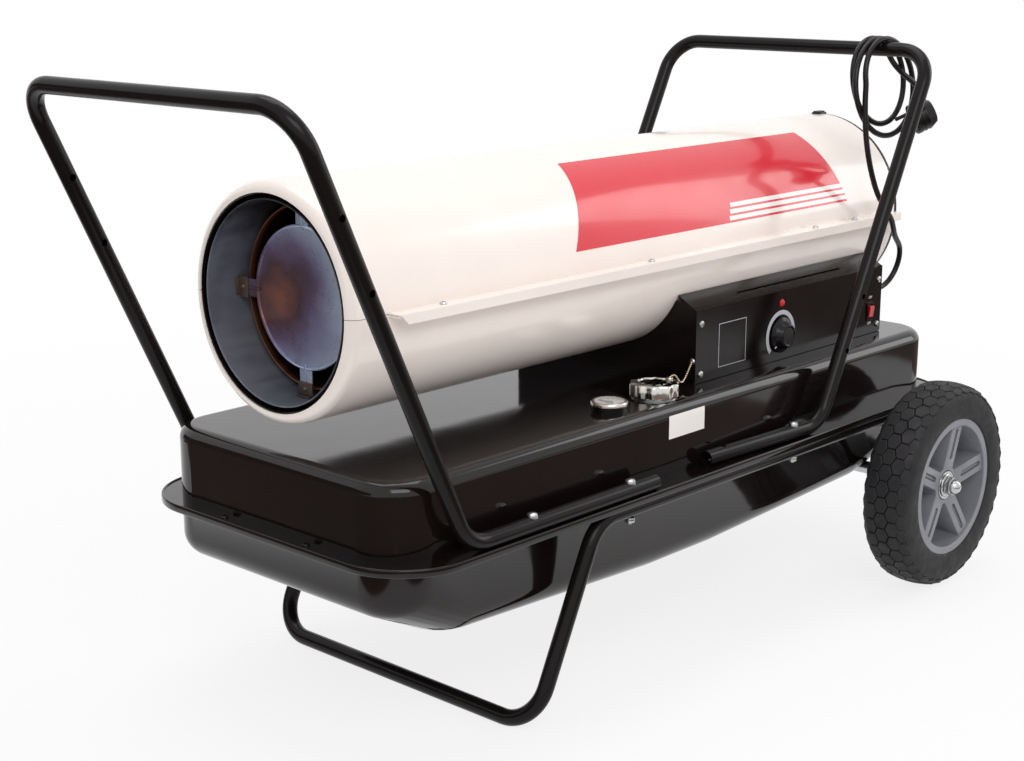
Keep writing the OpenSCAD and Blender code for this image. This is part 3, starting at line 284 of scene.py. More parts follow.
def mix_heat_and_shade_tints():
    """The steels in the barrel's mouth, each with its colours from a centre outwards; the liner's are
    painted light and shade.
    """
    # Painted light and shade: the liner's steel is lighter low on its far side and darker inside its top.
    liner = [
        (0.0, (128, 130, 138)), (0.4, (118, 122, 134)), (0.72, (72, 74, 82)), (1.0, (40, 38, 42)),
    ]
    heat_and_shade_tinted(
        "hot_steel", liner, (-400, 60, BARREL_Z - 70), reach=190, roughness=0.48, streak=(0.15, 1, 1),
        bare=0.45, dent=0.6,
    )
    copper_edge = [
        (0.0, (166, 108, 78)), (0.04, (140, 88, 64)), (0.12, (66, 42, 34)), (1.0, (36, 26, 24)),
    ]
    heat_and_shade_tinted(
        "chamber_steel", copper_edge, (CHAMBER_FRONT, 0, BARREL_Z), reach=60, roughness=0.42,
        streak=(0.3, 1, 1), bare=0.8, dent=0.8, spread=(1, 0, 0), stain=0.02,
    )
    tan = [(0.0, (104, 88, 72)), (0.5, (122, 104, 84)), (1.0, (98, 84, 76))]
    heat_and_shade_tinted(
        "tab_steel", tan, (BAFFLE_X - 1, 0, BARREL_Z), reach=110, roughness=0.4, streak=(1, 1, 1),
        bare=0.7, dent=0.4,
    )
    burnt = [
        (0.0, (176, 120, 96)), (0.18, (150, 102, 90)), (0.34, (100, 76, 86)), (0.5, (118, 104, 134)),
        (0.66, (150, 150, 186)), (0.84, (180, 194, 222)), (1.0, (196, 212, 234)),
    ]
    heat_and_shade_tinted(
        "baffle_steel", burnt, (BAFFLE_X + 6, 40, BARREL_Z - 4), reach=92, roughness=0.3,
        streak=(1, 1, 1), bare=0.65, dent=0.4, stain=0.16,
    )


# Ways of modelling

UP = (0, 0, 1)
AXES = {
    "X": (UP, (1, 0, 0)),
    "Z": ((1, 0, 0), UP),
    "near": ((1, 0, 0), (0, -1, 0)),
}


def object_mode():
    """Leaves the piece that is being edited."""
    bpy.ops.object.mode_set(mode="OBJECT")


def nothing_selected():
    """Object mode with an empty selection."""
    active = bpy.context.view_layer.objects.active
    if active is not None and active.mode != "OBJECT":
        object_mode()
    bpy.ops.object.select_all(action="DESELECT")


def only(piece):
    """Leaves the piece alone in the selection, in object mode."""
    nothing_selected()
    piece.select_set(True)
    bpy.context.view_layer.objects.active = piece


def called(piece, name):
    """Names a piece and its data."""
    piece.name = name
    piece.data.name = name


def copied(piece):
    """A second piece like the first."""
    only(piece)
    bpy.ops.object.duplicate()
    return bpy.context.object


def settle(piece):
    """Puts the piece's place, turn and scale into its mesh."""
    only(piece)
    bpy.ops.object.transform_apply(location=True, rotation=True, scale=True)


def begin(name, add, **how):
    """A primitive added at its size and place, as the start of a piece."""
    nothing_selected()
    add(**how)
    piece = bpy.context.object
    called(piece, name)
    settle(piece)
    return piece


def edit(piece, kind="FACE", chosen=None):
    """Opens the piece in edit mode with the chosen faces or points selected, or all."""
    only(piece)
    bpy.ops.object.mode_set(mode="EDIT")
    bpy.ops.mesh.select_mode(type=kind)
    bpy.ops.mesh.select_all(action="SELECT" if chosen is None else "DESELECT")
    if chosen is None:
        return
    object_mode()
    mesh = piece.data
    if kind == "FACE":
        for face in mesh.polygons:
            face.select = chosen(face.center, face.normal)
    else:
        for point in mesh.vertices:
            point.select = chosen(point.co)
    bpy.ops.object.mode_set(mode="EDIT")


def select_mesh():
    """Selects all of the mesh that is being edited."""
    bpy.ops.mesh.select_all(action="SELECT")


def pull(step):
    """Extrudes what is selected by a step in metres."""
    bpy.ops.mesh.extrude_region_move(TRANSFORM_OT_translate={"value": step})


def bevel(width, segments=2):
    """Rounds the selected edges by a width in millimetres."""
    bpy.ops.mesh.bevel(offset=width * MM, segments=segments, affect="EDGES")


def face_outwards():
    """Turns the selected faces outwards and leaves the piece."""
    bpy.ops.mesh.normals_make_consistent(inside=False)
    object_mode()


def close_up(within=0.01):
    """Merges what lies together, within a gap in millimetres, and turns the faces outwards."""
    select_mesh()
    bpy.ops.mesh.remove_doubles(threshold=within * MM)
    face_outwards()


def drawn(name, points):
    """A chain of edges through the points, made by pulling one point along."""
    piece = begin(name, bpy.ops.mesh.primitive_plane_add, size=MM)
    edit(piece, "VERT")
    bpy.ops.mesh.merge(type="CENTER")
    bpy.ops.transform.translate(value=points[0])
    for here, there in zip(points, points[1:]):
        pull(there - here)
    return piece


def turned(name, outline, centre, axis, steps):
    """A turned piece: an outline of (radius, height) in millimetres, spun round an axis."""
    out, along = (Vector(way) for way in AXES[axis])
    middle = mm(*centre)
    piece = drawn(name, [middle + (out * radius + along * height) * MM for radius, height in outline])
    select_mesh()
    bpy.ops.mesh.spin(steps=steps, angle=2 * math.pi, center=middle, axis=along)
    close_up()
    return piece


def wire_outline(radius, height, half):
    """Outline of a round wire bent into a ring; half is the wire's own radius."""
    angles = [math.radians(45 * corner) for corner in range(9)]
    return [(radius + half * math.cos(angle), height + half * math.sin(angle)) for angle in angles]


def spun_copies(piece, count, centre, axis):
    """Repeats the piece's mesh all round an axis."""
    edit(piece)
    bpy.ops.mesh.spin(
        steps=count, dupli=True, angle=2 * math.pi, center=mm(*centre), axis=Vector(AXES[axis][1])
    )
    close_up()


def turned_about(piece, centre, degrees):
    """Turns a piece round the line that runs across the heater through a centre."""
    there = Matrix.Translation(mm(*centre))
    piece.matrix_world = there @ Matrix.Rotation(math.radians(degrees), 4, "Y") @ there.inverted()
    settle(piece)
    return piece


def rounded(piece, width, segments=2):
    """Rounds all edges of a piece by a width in millimetres."""
    edit(piece)
    bevel(width, segments)
    object_mode()
    return piece


def block(name, low, high, round_by=0.0, segments=2):
    """A block between two corners in millimetres, its edges rounded."""
    low = mm(*low)
    high = mm(*high)
    piece = begin(
        name, bpy.ops.mesh.primitive_cube_add, size=1, location=(low + high) / 2, scale=high - low
    )
    if round_by:
        rounded(piece, round_by, segments)
    return piece


def cylinder(name, corners, radius, height, spot, turn=(0, 0, 0), scale=(1, 1, 1)):
    """A cylinder or prism round its middle, turned from upright."""
    return begin(
        name, bpy.ops.mesh.primitive_cylinder_add, vertices=corners, radius=radius * MM,
        depth=height * MM, location=mm(*spot), rotation=turn, scale=scale,
    )


def thickened(piece, thickness, offset):
    """Makes a sheet solid: offset 0 puts half of the thickness on each side, -1 all of it behind."""
    only(piece)
    bpy.ops.object.modifier_add(type="SOLIDIFY")
    sheet = piece.modifiers[-1]
    sheet.thickness = thickness * MM
    sheet.offset = offset
    bpy.ops.object.modifier_apply(modifier=sheet.name)


def cut(piece, cutter):
    """Cuts one piece out of another."""
    only(piece)
    bpy.ops.object.modifier_add(type="BOOLEAN")
    tool = piece.modifiers[-1]
    tool.object = cutter
    tool.operation = "DIFFERENCE"
    tool.solver = "EXACT"
    bpy.ops.object.modifier_apply(modifier=tool.name)
    bpy.data.objects.remove(cutter)


def joined(name, pieces):
    """One piece out of several."""
    only(pieces[0])
    for piece in pieces:
        piece.select_set(True)
    bpy.ops.object.join()
    whole = bpy.context.object
    called(whole, name)
    return whole


def set_down(piece, spot, direction):
    """Moves a piece modelled upright at the origin to its spot, its top along the direction."""
    turn = Vector(direction).to_track_quat("Z", "Y").to_matrix().to_4x4()
    piece.matrix_world = Matrix.Translation(mm(*spot)) @ turn
    settle(piece)


def repeated(name, pattern, places):
    """Copies of an upright pattern at every (spot, direction), joined into one piece."""
    copies = []
    for spot, direction in places:
        copy = copied(pattern)
        set_down(copy, spot, direction)
        copies.append(copy)
    bpy.data.objects.remove(pattern)
    return joined(name, copies)


def other_side(piece, name):
    """The same piece mirrored to the far side of the heater."""
    copy = copied(piece)
    called(copy, name)
    copy.scale = (1, -1, 1)
    settle(copy)
    edit(copy)
    face_outwards()
    return copy


def finished(piece, body, finish, *nodes, slot=None, angle=35):
    """Shades a piece, gives it its finish and lets it stand for the nodes.

    It rides on the body, if one is named. The slot argument is not used.
    """
    only(piece)
    if piece.type == "MESH":
        bpy.ops.object.shade_smooth_by_angle(angle=math.radians(angle))
    piece.data.materials.clear()
    piece.data.materials.append(FINISH[finish])
    if body is not None:
        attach(piece, body)
    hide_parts(*nodes)
    return piece


# Mains cord

CORD_R = 3.5
GLAND_X = 470
GLAND_FACE = (GLAND_X + 23, -116, 342)
LEAD_STUB = 4
LEAD_BEND_R = 32
LEAD_SWAY = 7
REAR_TOP_X = 458
HANK_Y = -130
HANK_TOP = 648 + 8.65 + CORD_R + 0.5
HANK_START = -90
HANK_END = 740
LOOP_PITCH = 9
LOOP_HALF_WIDTH = 46
LOOP_HALF_HEIGHT = 55.5
LOOP_SLANT = 8
LOOP_LEAN = 6.5
SWELL_WIDTH = 6
SWELL_HEIGHT = 3.5
RINGS_PER_LOOP = 24
PLUG_AT = (482, -173, 568)
PLUG_FACE = (-6, 6, -4)
NECK_START = (484, -166, 598)


def hank_point(angle):
    """Point on the loops hung over the rear handle; the angle runs on from loop to loop."""
    turn = math.radians(angle)
    drop = 1 - math.cos(turn)
    swell = math.cos(math.radians((angle - 180) / 2))
    return mm(
        REAR_TOP_X + (LOOP_HALF_WIDTH + SWELL_WIDTH * swell) * math.sin(turn),
        HANK_Y + LOOP_PITCH * angle / 360 - LOOP_SLANT * math.sin(turn) - LOOP_LEAN * drop,
        HANK_TOP - (LOOP_HALF_HEIGHT + SWELL_HEIGHT * swell) * drop,
    )


def lead_bend(angle):
    """Point on the round bend in which the lead turns up behind the control box."""
    turn = math.radians(angle)
    rise = 1 - math.cos(turn)
    x, y, z = GLAND_FACE
    return mm(x + LEAD_STUB + LEAD_BEND_R * math.sin(turn), y - LEAD_SWAY * rise, z + LEAD_BEND_R * rise)


def smooth_route(points, steps):
    """Smooth curve through given points."""
    route = []
    last = len(points) - 1
    for index in range(last):
        before = points[max(index - 1, 0)]
        here = points[index]
        there = points[index + 1]
        after = points[min(index + 2, last)]
        bend = 2 * before - 5 * here + 4 * there - after
        twist = 3 * here - before - 3 * there + after
        for step in range(steps):
            share = step / steps
            straight = 2 * here + (there - before) * share
            route.append(0.5 * (straight + bend * share ** 2 + twist * share ** 3))
    return route + [points[last]]


def cord_route():
    """The whole centre line: lead from the control box, loops on the handle, tail to the plug."""
    bend = [lead_bend(15 * step) for step in range(10)]
    rise = [
        bend[9], mm(495, -135, 414), mm(471, -143, 437), mm(436, -143, 472), mm(419, -140, 510),
        mm(415, -135, 546), mm(415, -132, 578), hank_point(HANK_START),
    ]
    tail = [
        hank_point(HANK_END), mm(484, -117, 645), mm(489, -124, 630), mm(490, -138, 617),
        mm(487, -155, 607), mm(*NECK_START),
    ]
    rings = round((HANK_END - HANK_START) * RINGS_PER_LOOP / 360)
    step = (HANK_END - HANK_START) / rings
    loops = [hank_point(HANK_START + ring * step) for ring in range(1, rings)]
    return [mm(*GLAND_FACE)] + bend[:9] + smooth_route(rise, 2) + loops + smooth_route(tail, 2)


def make_cord():
    """The mains cord as one curve, with its strain relief and its plug."""
    route = cord_route()
    line = bpy.data.curves.new("mains_cord", "CURVE")
    line.dimensions = "3D"
    line.bevel_depth = CORD_R * MM
    line.bevel_resolution = 4
    line.resolution_u = 3
    spline = line.splines.new("BEZIER")
    spline.bezier_points.add(len(route) - 1)
    for point, spot in zip(spline.bezier_points, route):
        point.co = spot
        point.handle_left_type = "AUTO"
        point.handle_right_type = "AUTO"
    cord = bpy.data.objects.new("mains_cord", line)
    bpy.context.scene.collection.objects.link(cord)
    finished(cord, "base", "cord_rubber", "cord_lead", "cord_hank", "cord_tail")
    make_strain_relief()
    plug = make_plug()


def make_strain_relief():
    """Hexagon gland on the control box and a ribbed sleeve that thins out along the cord."""
    face_x, y, z = GLAND_FACE
    nut = rounded(cylinder("gland_nut", 6, 10, 4, (GLAND_X + 2, y, z), (0, math.pi / 2, 0)), 0.6)
    outline = [(0, 3), (7.6, 3)]
    for rib in range(6):
        radius = 7.4 - 0.5 * rib
        foot = 4.5 + 3 * rib
        groove = radius - 0.9
        outline += [(radius, foot), (radius, foot + 1.8), (groove, foot + 2), (groove, foot + 2.8)]
    outline += [(4.4, 22.4), (4, face_x - GLAND_X), (0, face_x - GLAND_X)]
    sleeve = turned("gland_sleeve", outline, (GLAND_X, y, z), "X", 32)
    gland = joined("strain_relief", [nut, sleeve])
    finished(gland, "base", "black_plastic", "cord_gland", angle=40)


def make_plug():
    """Round mains plug with grip steps, two pins and a neck that takes the cord in at its edge."""
    outline = [
        (0, -14), (13, -14), (14.4, -13.4), (18.2, -5), (19, -3.6), (19, -1.5), (18.2, -1), (18.2, 1),
        (19, 1.5), (19, 4), (18.2, 4.5), (18.2, 6.5), (19, 7), (19, 13), (18.2, 14), (16.5, 14),
        (16, 13.2), (0, 13.2),
    ]
    pieces = [turned("plug_body", outline, (0, 0, 0), "Z", 40)]
    pin = [(0, 12), (2.4, 12), (2.4, 31.6), (1.9, 32.7), (0, 33)]
    for side in (-9.5, 9.5):
        pieces.append(turned("plug_pin", pin, (0, side, 0), "Z", 16))
    whole = joined("plug_body", pieces)
    set_down(whole, PLUG_AT, PLUG_FACE)
    way = Vector(PLUG_AT) - Vector(NECK_START)
    outline = [(0, 0), (4.6, 0), (5.2, 0.8)]
    for rib in range(4):
        radius = 5.4 + 0.7 * rib
        foot = 1.5 + 5 * rib
        outline += [(radius, foot), (radius + 0.3, foot + 3.1), (radius - 0.5, foot + 3.5)]
        outline += [(radius - 0.3, foot + 4.5)]
    outline += [(8, 22), (8.4, way.length - 4), (0, way.length - 4)]
    neck = turned("plug_neck", outline, (0, 0, 0), "Z", 24)
    set_down(neck, NECK_START, way)
    plug = joined("mains_plug", [whole, neck])
    return finished(plug, "base", "cord_rubber", "plug", angle=40)


# Barrel

def barrel_sheet(name, top_angle, low_angle, height, left, right):
    """A thin sheet on the barrel's near side between two angles from the top, its ends cut on a slant.

    left and right give the x of an end at the top and at the bottom edge.
    """
    def on_barrel(angle, x):
        turn = math.radians(angle)
        radius = BARREL_R + height
        return mm(x, -radius * math.sin(turn), UPPER_Z + radius * math.cos(turn))

    span = low_angle - top_angle
    steps = max(4, round(span / 2.5))
    spare = 5
    arc = [on_barrel(top_angle + span * step / steps, min(left) - spare) for step in range(steps + 1)]
    piece = drawn(name, arc)
    select_mesh()
    pull(mm(max(right) - min(left) + 2 * spare, 0, 0))
    for ends, way in ((left, -1), (right, 1)):
        top = on_barrel(top_angle, ends[0])
        slant = on_barrel(low_angle, ends[1]) - top
        select_mesh()
        outwards = Vector((-slant.z, 0, slant.x)) * way
        bpy.ops.mesh.bisect(plane_co=top, plane_no=outwards, clear_outer=True)
    select_mesh()
    face_outwards()
    thickened(piece, 0.12, 0)
    return piece


def make_signs():
    """Red field with three white stripes on each side of the barrel."""
    field = barrel_sheet("red_field_near", 25.4, 78.1, 0.14, (-63, -106.6), (383, 410))
    finished(other_side(field, "red_field_far"), "base", "sign_red", slot="barrel_white")
    finished(field, "base", "sign_red", slot="barrel_white")
    pitch = 3.65
    width = 2.4
    stripes = []
    for row in range(3):
        top = 67.1 + pitch * row
        left = (177 - 3 * row, 175 - 3 * row)
        right = (403 + 2.4 * row, 404.4 + 2.4 * row)
        stripes.append(barrel_sheet("stripe", top, top + width, 0.28, left, right))
    near = joined("stripes_near", stripes)
    finished(other_side(near, "stripes_far"), "base", "sign_white", slot="barrel_white")
    finished(near, "base", "sign_white", slot="barrel_white")


def make_mouth():
    """A black ring of painted shade in the gap between the barrel's lip and the liner, and the bead on
    the liner's edge.
    """
    # The black ring is painted shade: it darkens the gap between the barrel's lip and the liner.
    sleeve = turned(
        "mouth_shade_ring", [(105.4, 0), (106, -0.6), (106.6, 0), (106.6, 38), (105.4, 38), (105.4, 0)],
        (MOUTH_X, 0, BARREL_Z), "X", 96,
    )
    finished(sleeve, "base", "box_black")
    bead = turned(
        "liner_bead", [(99.4, 0.6), (99.6, -0.4), (100.4, -0.7), (101, -0.4), (101.2, 0.6), (99.4, 0.6)],
        (LINER_X, 0, BARREL_Z), "X", 96,
    )
    finished(bead, "base", "hot_steel")


def dent(plate, y, z, depth, reach):
    """Pushes a soft dent into the baffle disc: place from its middle, depth and reach in millimetres."""
    middle = mm(BAFFLE_X + 6, y, BARREL_Z + z)
    edit(plate, "VERT", lambda point: (point - middle).length < 9 * MM)
    bpy.ops.transform.translate(
        value=mm(depth, 0, 0), use_proportional_edit=True, proportional_edit_falloff="SMOOTH",
        proportional_size=reach * MM,
    )
    object_mode()


def make_baffle():
    """Dented baffle disc with a rolled rim, on four ribbed arms that are riveted to clamps."""
    middle = (0, 0, BARREL_Z)
    dish = [(radius, 5.6 - 0.001 * radius ** 2) for radius in range(0, 67, 6)]
    rim = [(68.6, 0.8), (69.4, -0.5), (70.6, -1), (71.6, -0.6), (72, 0.5), (71.6, 1.6), (70, 2.1)]
    back = [(radius, height + 1.5) for radius, height in reversed(dish)]
    disc = turned("baffle_plate", dish + rim + back, (BAFFLE_X, 0, BARREL_Z), "X", 96)
    dent(disc, 8, 30, 2.4, 34)
    dent(disc, -22, 6, -2, 30)
    dent(disc, 20, -16, 1.8, 28)
    dent(disc, -14, -40, -1.2, 26)
    finished(disc, "base", "baffle_steel", "baffle_disc", slot="hot_steel")
    arm = block("baffle_arm", (BAFFLE_X, -9, BARREL_Z + 70), (BAFFLE_X + 1.5, 9, BARREL_Z + 98), 0.5)
    rib = block(
        "baffle_rib", (BAFFLE_X - 1.4, -1.6, BARREL_Z + 66), (BAFFLE_X + 0.6, 1.6, BARREL_Z + 83), 0.7, 3
    )
    arms = joined("baffle_arms", [arm, rib])
    spun_copies(arms, 4, middle, "X")
    finished(arms, "base", "baffle_steel", slot="hot_steel")
    clamp_x = BAFFLE_X - 1.6
    clamp = block("baffle_clamp", (clamp_x, -10.5, BARREL_Z + 84), (BAFFLE_X, 10.5, BARREL_Z + 97), 0.4)
    foot = block(
        "baffle_foot", (BAFFLE_X - 5, -9, BARREL_Z + 97), (BAFFLE_X + 1.5, 9, BARREL_Z + 98.5), 0.4
    )
    rivet = turned(
        "baffle_rivet", [(0, -2), (1.2, -1.8), (2.3, -1), (2.7, 0), (2.7, 1), (0, 1)],
        (clamp_x, 0, BARREL_Z + 91), "X", 20,
    )
    clamps = joined("baffle_clamps", [clamp, foot, rivet])
    spun_copies(clamps, 4, middle, "X")
    finished(clamps, "base", "tab_steel", slot="hot_steel")


def make_guard():
    """Wire guard over the intake: rim, rings, spokes and middle plate, and the clip that holds it."""
    centre = (GUARD_X, 0, BARREL_Z)
    rim = turned(
        "guard_rim",
        [(113, 0.2), (113, 5.6), (113.6, 6.6), (115, 7), (117, 6.8), (118, 5.8), (118, 0.2), (113, 0.2)],
        centre, "X", 96,
    )
    pieces = [rim]
    for radius in (34.7, 52.7, 70.7, 88.7):
        pieces.append(turned("guard_ring", wire_outline(radius, 5.6, 1.3), centre, "X", 72))
    spoke = cylinder("guard_spoke", 10, 1.4, 100, (GUARD_X + 3.2, 0, BARREL_Z + 65))
    spun_copies(spoke, 8, (0, 0, BARREL_Z), "X")
    pieces.append(spoke)
    plate = [(0, 4), (18, 4), (18, 5.4), (16.8, 6.3), (0, 7)]
    pieces.append(turned("guard_plate", plate, centre, "X", 40))
    guard = joined("wire_guard", pieces)
    finished(guard, "base", "frame_black", "intake_guard", slot="box_black")
    clip = block("guard_clip", (GUARD_X - 12, -6, 555), (GUARD_X + 6.4, 6, 559.4), 1.2)
    edit(clip, "FACE", lambda centre, normal: normal.z > 0.9 and centre.x > (GUARD_X - 5) * MM)
    bpy.ops.mesh.inset(thickness=1.5 * MM)
    pull(mm(0, 0, 1.2))
    object_mode()
    finished(clip, "base", "black_plastic")


# Screws, bolts and nuts

def screw_head():
    """A pan-head screw with a cross recess, upright at the origin."""
    outline = [(0, -3), (2, -3), (2, 0), (4, 0), (4, 0.8), (3.6, 1.7), (2.6, 2.2), (0, 2.45)]
    head = turned("screw", outline, (0, 0, 0), "Z", 24)
    for half_x, half_y in ((2.2, 0.5), (0.5, 2.2)):
        cut(head, block("recess", (-half_x, -half_y, 1.2), (half_x, half_y, 4)))
    return head


def make_screws():
    """Zinc screws along the seams and on the panel, and painted ones on the flange."""
    ledge_y, ledge_z = 127, 440.8
    places = [((x, side * ledge_y, ledge_z), UP) for x in (-312, 6, 324, 412) for side in (-1, 1)]
    places += [((x, PANEL_Y, z), (0, -1, 0)) for x in (87, 462) for z in (302, 360)]
    screws = repeated("cross_screws", screw_head(), places)
    finished(screws, "base", "zinc", "casing_screws")
    flange_places = [((x, y, SEAM_Z + 1.5), UP) for x in (-436, 546) for y in (-62, 62)]
    painted = repeated("flange_screws", screw_head(), flange_places)
    finished(painted, "base", "tank_black")


def make_bolts():
    """Domed bolts that hold the tube feet, with hexagon nuts under the flange or the lower run."""
    dome = [(0, -2), (5.7, -2), (5.7, 0.6), (5.2, 2.2), (3.6, 3.4), (0, 3.9)]
    head = turned("bolt_head", dome, (0, 0, 0), "Z", 28)
    nut = rounded(cylinder("bolt_nut", 6, 6, 5, (0, 0, -2.5)), 0.5)
    end = turned("bolt_end", [(0, -7), (2.4, -7), (3, -6.4), (3, 0), (0, 0)], (0, 0, 0), "Z", 20)
    tail = joined("bolt_tail", [nut, end])
    head_z = 233
    spots = [(-262, 196, 212.4), (-111, 196, 195.1), (192, 193.1, 195.1)]
    sides = [(x, side * y, nut_z) for x, y, nut_z in spots for side in (-1, 1)]
    heads = repeated("bolt_heads", head, [((x, y, head_z), UP) for x, y, nut_z in sides])
    tails = repeated("bolt_tails", tail, [((x, y, nut_z), UP) for x, y, nut_z in sides])
    bolts = joined("foot_bolts", [heads, tails])
    finished(bolts, "base", "zinc", "handle_bolts")


def make_axle_nuts():
    """Washer, hexagon and dome of the acorn nut at each end of the axle."""
    washer_y = -275.2
    seat = (AXLE_X, washer_y, AXLE_Z)
    flat = [(8, 0), (14, 0), (14.5, 0.5), (14.5, 1.5), (14, 2), (8, 2), (8, 0)]
    washer = turned("washer", flat, seat, "near", 40)
    middle = (AXLE_X, washer_y - 5.7, AXLE_Z)
    nut = rounded(cylinder("acorn_hexagon", 6, 12, 7, middle, (math.pi / 2, 0, 0)), 0.8)
    outline = [(0, 6), (9.6, 6)]
    for step in range(10):
        angle = math.radians(10 * step)
        outline.append((9.6 * math.cos(angle), 9 + 10.2 * math.sin(angle)))
    dome = turned("acorn_dome", outline, seat, "near", 40)
    near = joined("acorn_nuts", [washer, nut, dome])
    far = other_side(near, "acorn_far")
    both = joined("acorn_nuts", [near, far])
    finished(both, "base", "zinc", "axle_fasteners", angle=30)


# Wheels

TREAD_BLOCKS = 40
SPOKES = 5


def on_wheel(x, y, z):
    """A place measured from the middle of the near wheel."""
    return (AXLE_X + x, -WHEEL_Y + y, AXLE_Z + z)


def tread_block(y, reach, size, tilt):
    """One six-sided tread block on top of the near wheel: y from its middle, outer radius, size, tilt."""
    length, width, height = size
    stretch = (length / math.sqrt(3), width / 2, 1)
    piece = cylinder("tread", 6, 1, height, (0, 0, -height / 2), scale=stretch)
    edit(piece, "FACE", lambda centre, normal: normal.z > 0.9)
    bevel(0.8, 1)
    object_mode()
    turn = Matrix.Rotation(math.radians(tilt), 4, "X")
    piece.matrix_world = Matrix.Translation(mm(*on_wheel(0, y, reach))) @ turn
    settle(piece)
    return piece


def make_tyre():
    """Tyre carcass with five rows of six-sided tread blocks, close together like paving."""
    half = [
        (84.6, 26), (87, 28.4), (94, 29.8), (104, 30), (111, 29.2), (116, 27.4), (119.6, 23), (121.4, 16),
    ]
    outline = half + [(122.4, 0)] + [(radius, -y) for radius, y in reversed(half)] + [half[0]]
    carcass = turned("tyre_carcass", outline, NEAR_WHEEL, "near", 96)
    rows = [tread_block(0, 126.4, (18.7, 18, 6), 0)]
    for side in (-1, 1):
        between = tread_block(side * 14.2, 125.2, (18.6, 17.2, 6), side * -9)
        rows.append(turned_about(between, NEAR_WHEEL, 180 / TREAD_BLOCKS))
        rows.append(tread_block(side * 24.2, 120.8, (18.4, 12, 5), side * -34))
    tread = joined("tread", rows)
    spun_copies(tread, TREAD_BLOCKS, NEAR_WHEEL, "near")
    near = joined("tyre_near", [carcass, tread])
    far = other_side(near, "tyre_far")
    finished(near, "near_wheel", "tyre_rubber", "near_tyre", angle=30)
    finished(far, "far_wheel", "tyre_rubber", "far_tyre", angle=30)


def make_spokes():
    """The near wheel's spokes: they slope inwards to the hub, each with a rib in a long groove."""
    slope = mm(0, 7, 0)
    groove_slope = slope * 0.58
    groove_low = 36
    groove_high = 69
    spoke = block("rim_spoke", on_wheel(-11.5, -24, 20), on_wheel(11.5, 11, 78))
    edit(spoke, "VERT", lambda point: point.y < -WHEEL_Y * MM and point.z < (AXLE_Z + 30) * MM)
    bpy.ops.transform.translate(value=slope)
    select_mesh()
    bevel(1.4, 3)
    groove = cylinder("groove", 32, 3.4, 16, on_wheel(0, -23, groove_low), (math.pi / 2, 0, 0))
    edit(groove, "VERT", lambda point: point.z > (AXLE_Z + groove_low + 0.1) * MM)
    bpy.ops.transform.translate(value=mm(0, 0, groove_high - groove_low) - groove_slope)
    object_mode()
    cut(spoke, groove)
    rib = block("groove_rib", on_wheel(-0.9, -17.6, groove_low), on_wheel(0.9, -12, groove_high), 0.5)
    edit(rib, "VERT", lambda point: point.z > (AXLE_Z + 50) * MM)
    bpy.ops.transform.translate(value=-groove_slope)
    object_mode()
    spokes = joined("rim_spokes", [spoke, rib])
    spun_copies(spokes, SPOKES, NEAR_WHEEL, "near")
    return turned_about(spokes, NEAR_WHEEL, 6)


def make_rim():
    """Moulded rim: ring, closed web and hub in one turning, with grooved spokes."""
    outline = [
        (85.2, -27), (85.2, 26), (84.4, 27), (77, 27), (76, 26), (74, -8), (72.5, -10), (26, -10),
        (24.6, -8.5), (24, 15.8), (23, 16.8), (19.2, 16.8), (18.4, 16), (18.4, 5.6), (12.2, 5.6),
        (12.2, -15.6), (18.4, -15.6), (18.4, -27), (24, -27), (24, -14), (26, -13), (73, -13),
        (75.5, -15), (76, -27), (85.2, -27),
    ]
    ring = turned("rim_ring", outline, NEAR_WHEEL, "near", 80)
    near = joined("rim_near", [ring, make_spokes()])
    far = other_side(near, "rim_far")
    finished(near, "near_wheel", "rim_grey", "near_rim", angle=30)
    finished(far, "far_wheel", "rim_grey", "far_rim", angle=30)


# Filler, gauge and controls

CAP_FOOT = 295
CAP_POINTS = 80
SCALLOPS = 10


def make_cap():
    """Scalloped filler cap, hollow below, with a dished top."""
    middle = mm(CAP_X, CAP_Y, CAP_FOOT)
    rise = mm(0, 0, 1)
    brow = middle + rise * 14
    cap = begin(
        "scalloped_cap", bpy.ops.mesh.primitive_circle_add, vertices=CAP_POINTS, radius=28 * MM,
        fill_type="NGON", location=middle,
    )

    def steps_from_scallop(point):
        pitch = 360 / SCALLOPS
        angle = math.degrees(math.atan2(point.y - middle.y, point.x - middle.x))
        return abs(round((angle % pitch - pitch / 2) * CAP_POINTS / 360))

    for steps, share in ((0, 0.9), (1, 0.912), (2, 0.948), (3, 0.985)):
        edit(cap, "VERT", lambda point: steps_from_scallop(point) == steps)
        bpy.ops.transform.resize(value=(share, share, 1), center_override=middle)
    edit(cap)
    bpy.ops.mesh.flip_normals()
    pull(rise * 11.6)
    for height, share in ((1.2, 0.985), (0.8, 0.965), (0.4, 0.93)):
        pull(rise * height)
        bpy.ops.transform.resize(value=(share, share, 1), center_override=brow)
    bpy.ops.mesh.inset(thickness=4.5 * MM)
    pull(rise * -1.2)
    bpy.ops.transform.resize(value=(0.95, 0.95, 1), center_override=brow)
    bpy.ops.mesh.inset(thickness=4 * MM)
    pull(rise * 0.5)
    edit(cap, "FACE", lambda centre, normal: centre.z < (CAP_FOOT + 0.01) * MM)
    bpy.ops.mesh.inset(thickness=3 * MM)
    pull(rise * 9.3)
    edit(cap)
    close_up()
    eyelet = turned("cap_eyelet", wire_outline(3.2, 0, 0.8), (CAP_X + 22, CAP_Y - 4, 309.6), "Z", 20)
    finished(eyelet, "seal", "cap_chrome")
    finished(cap, "cap", "cap_chrome", "fuel_cap", angle=32)


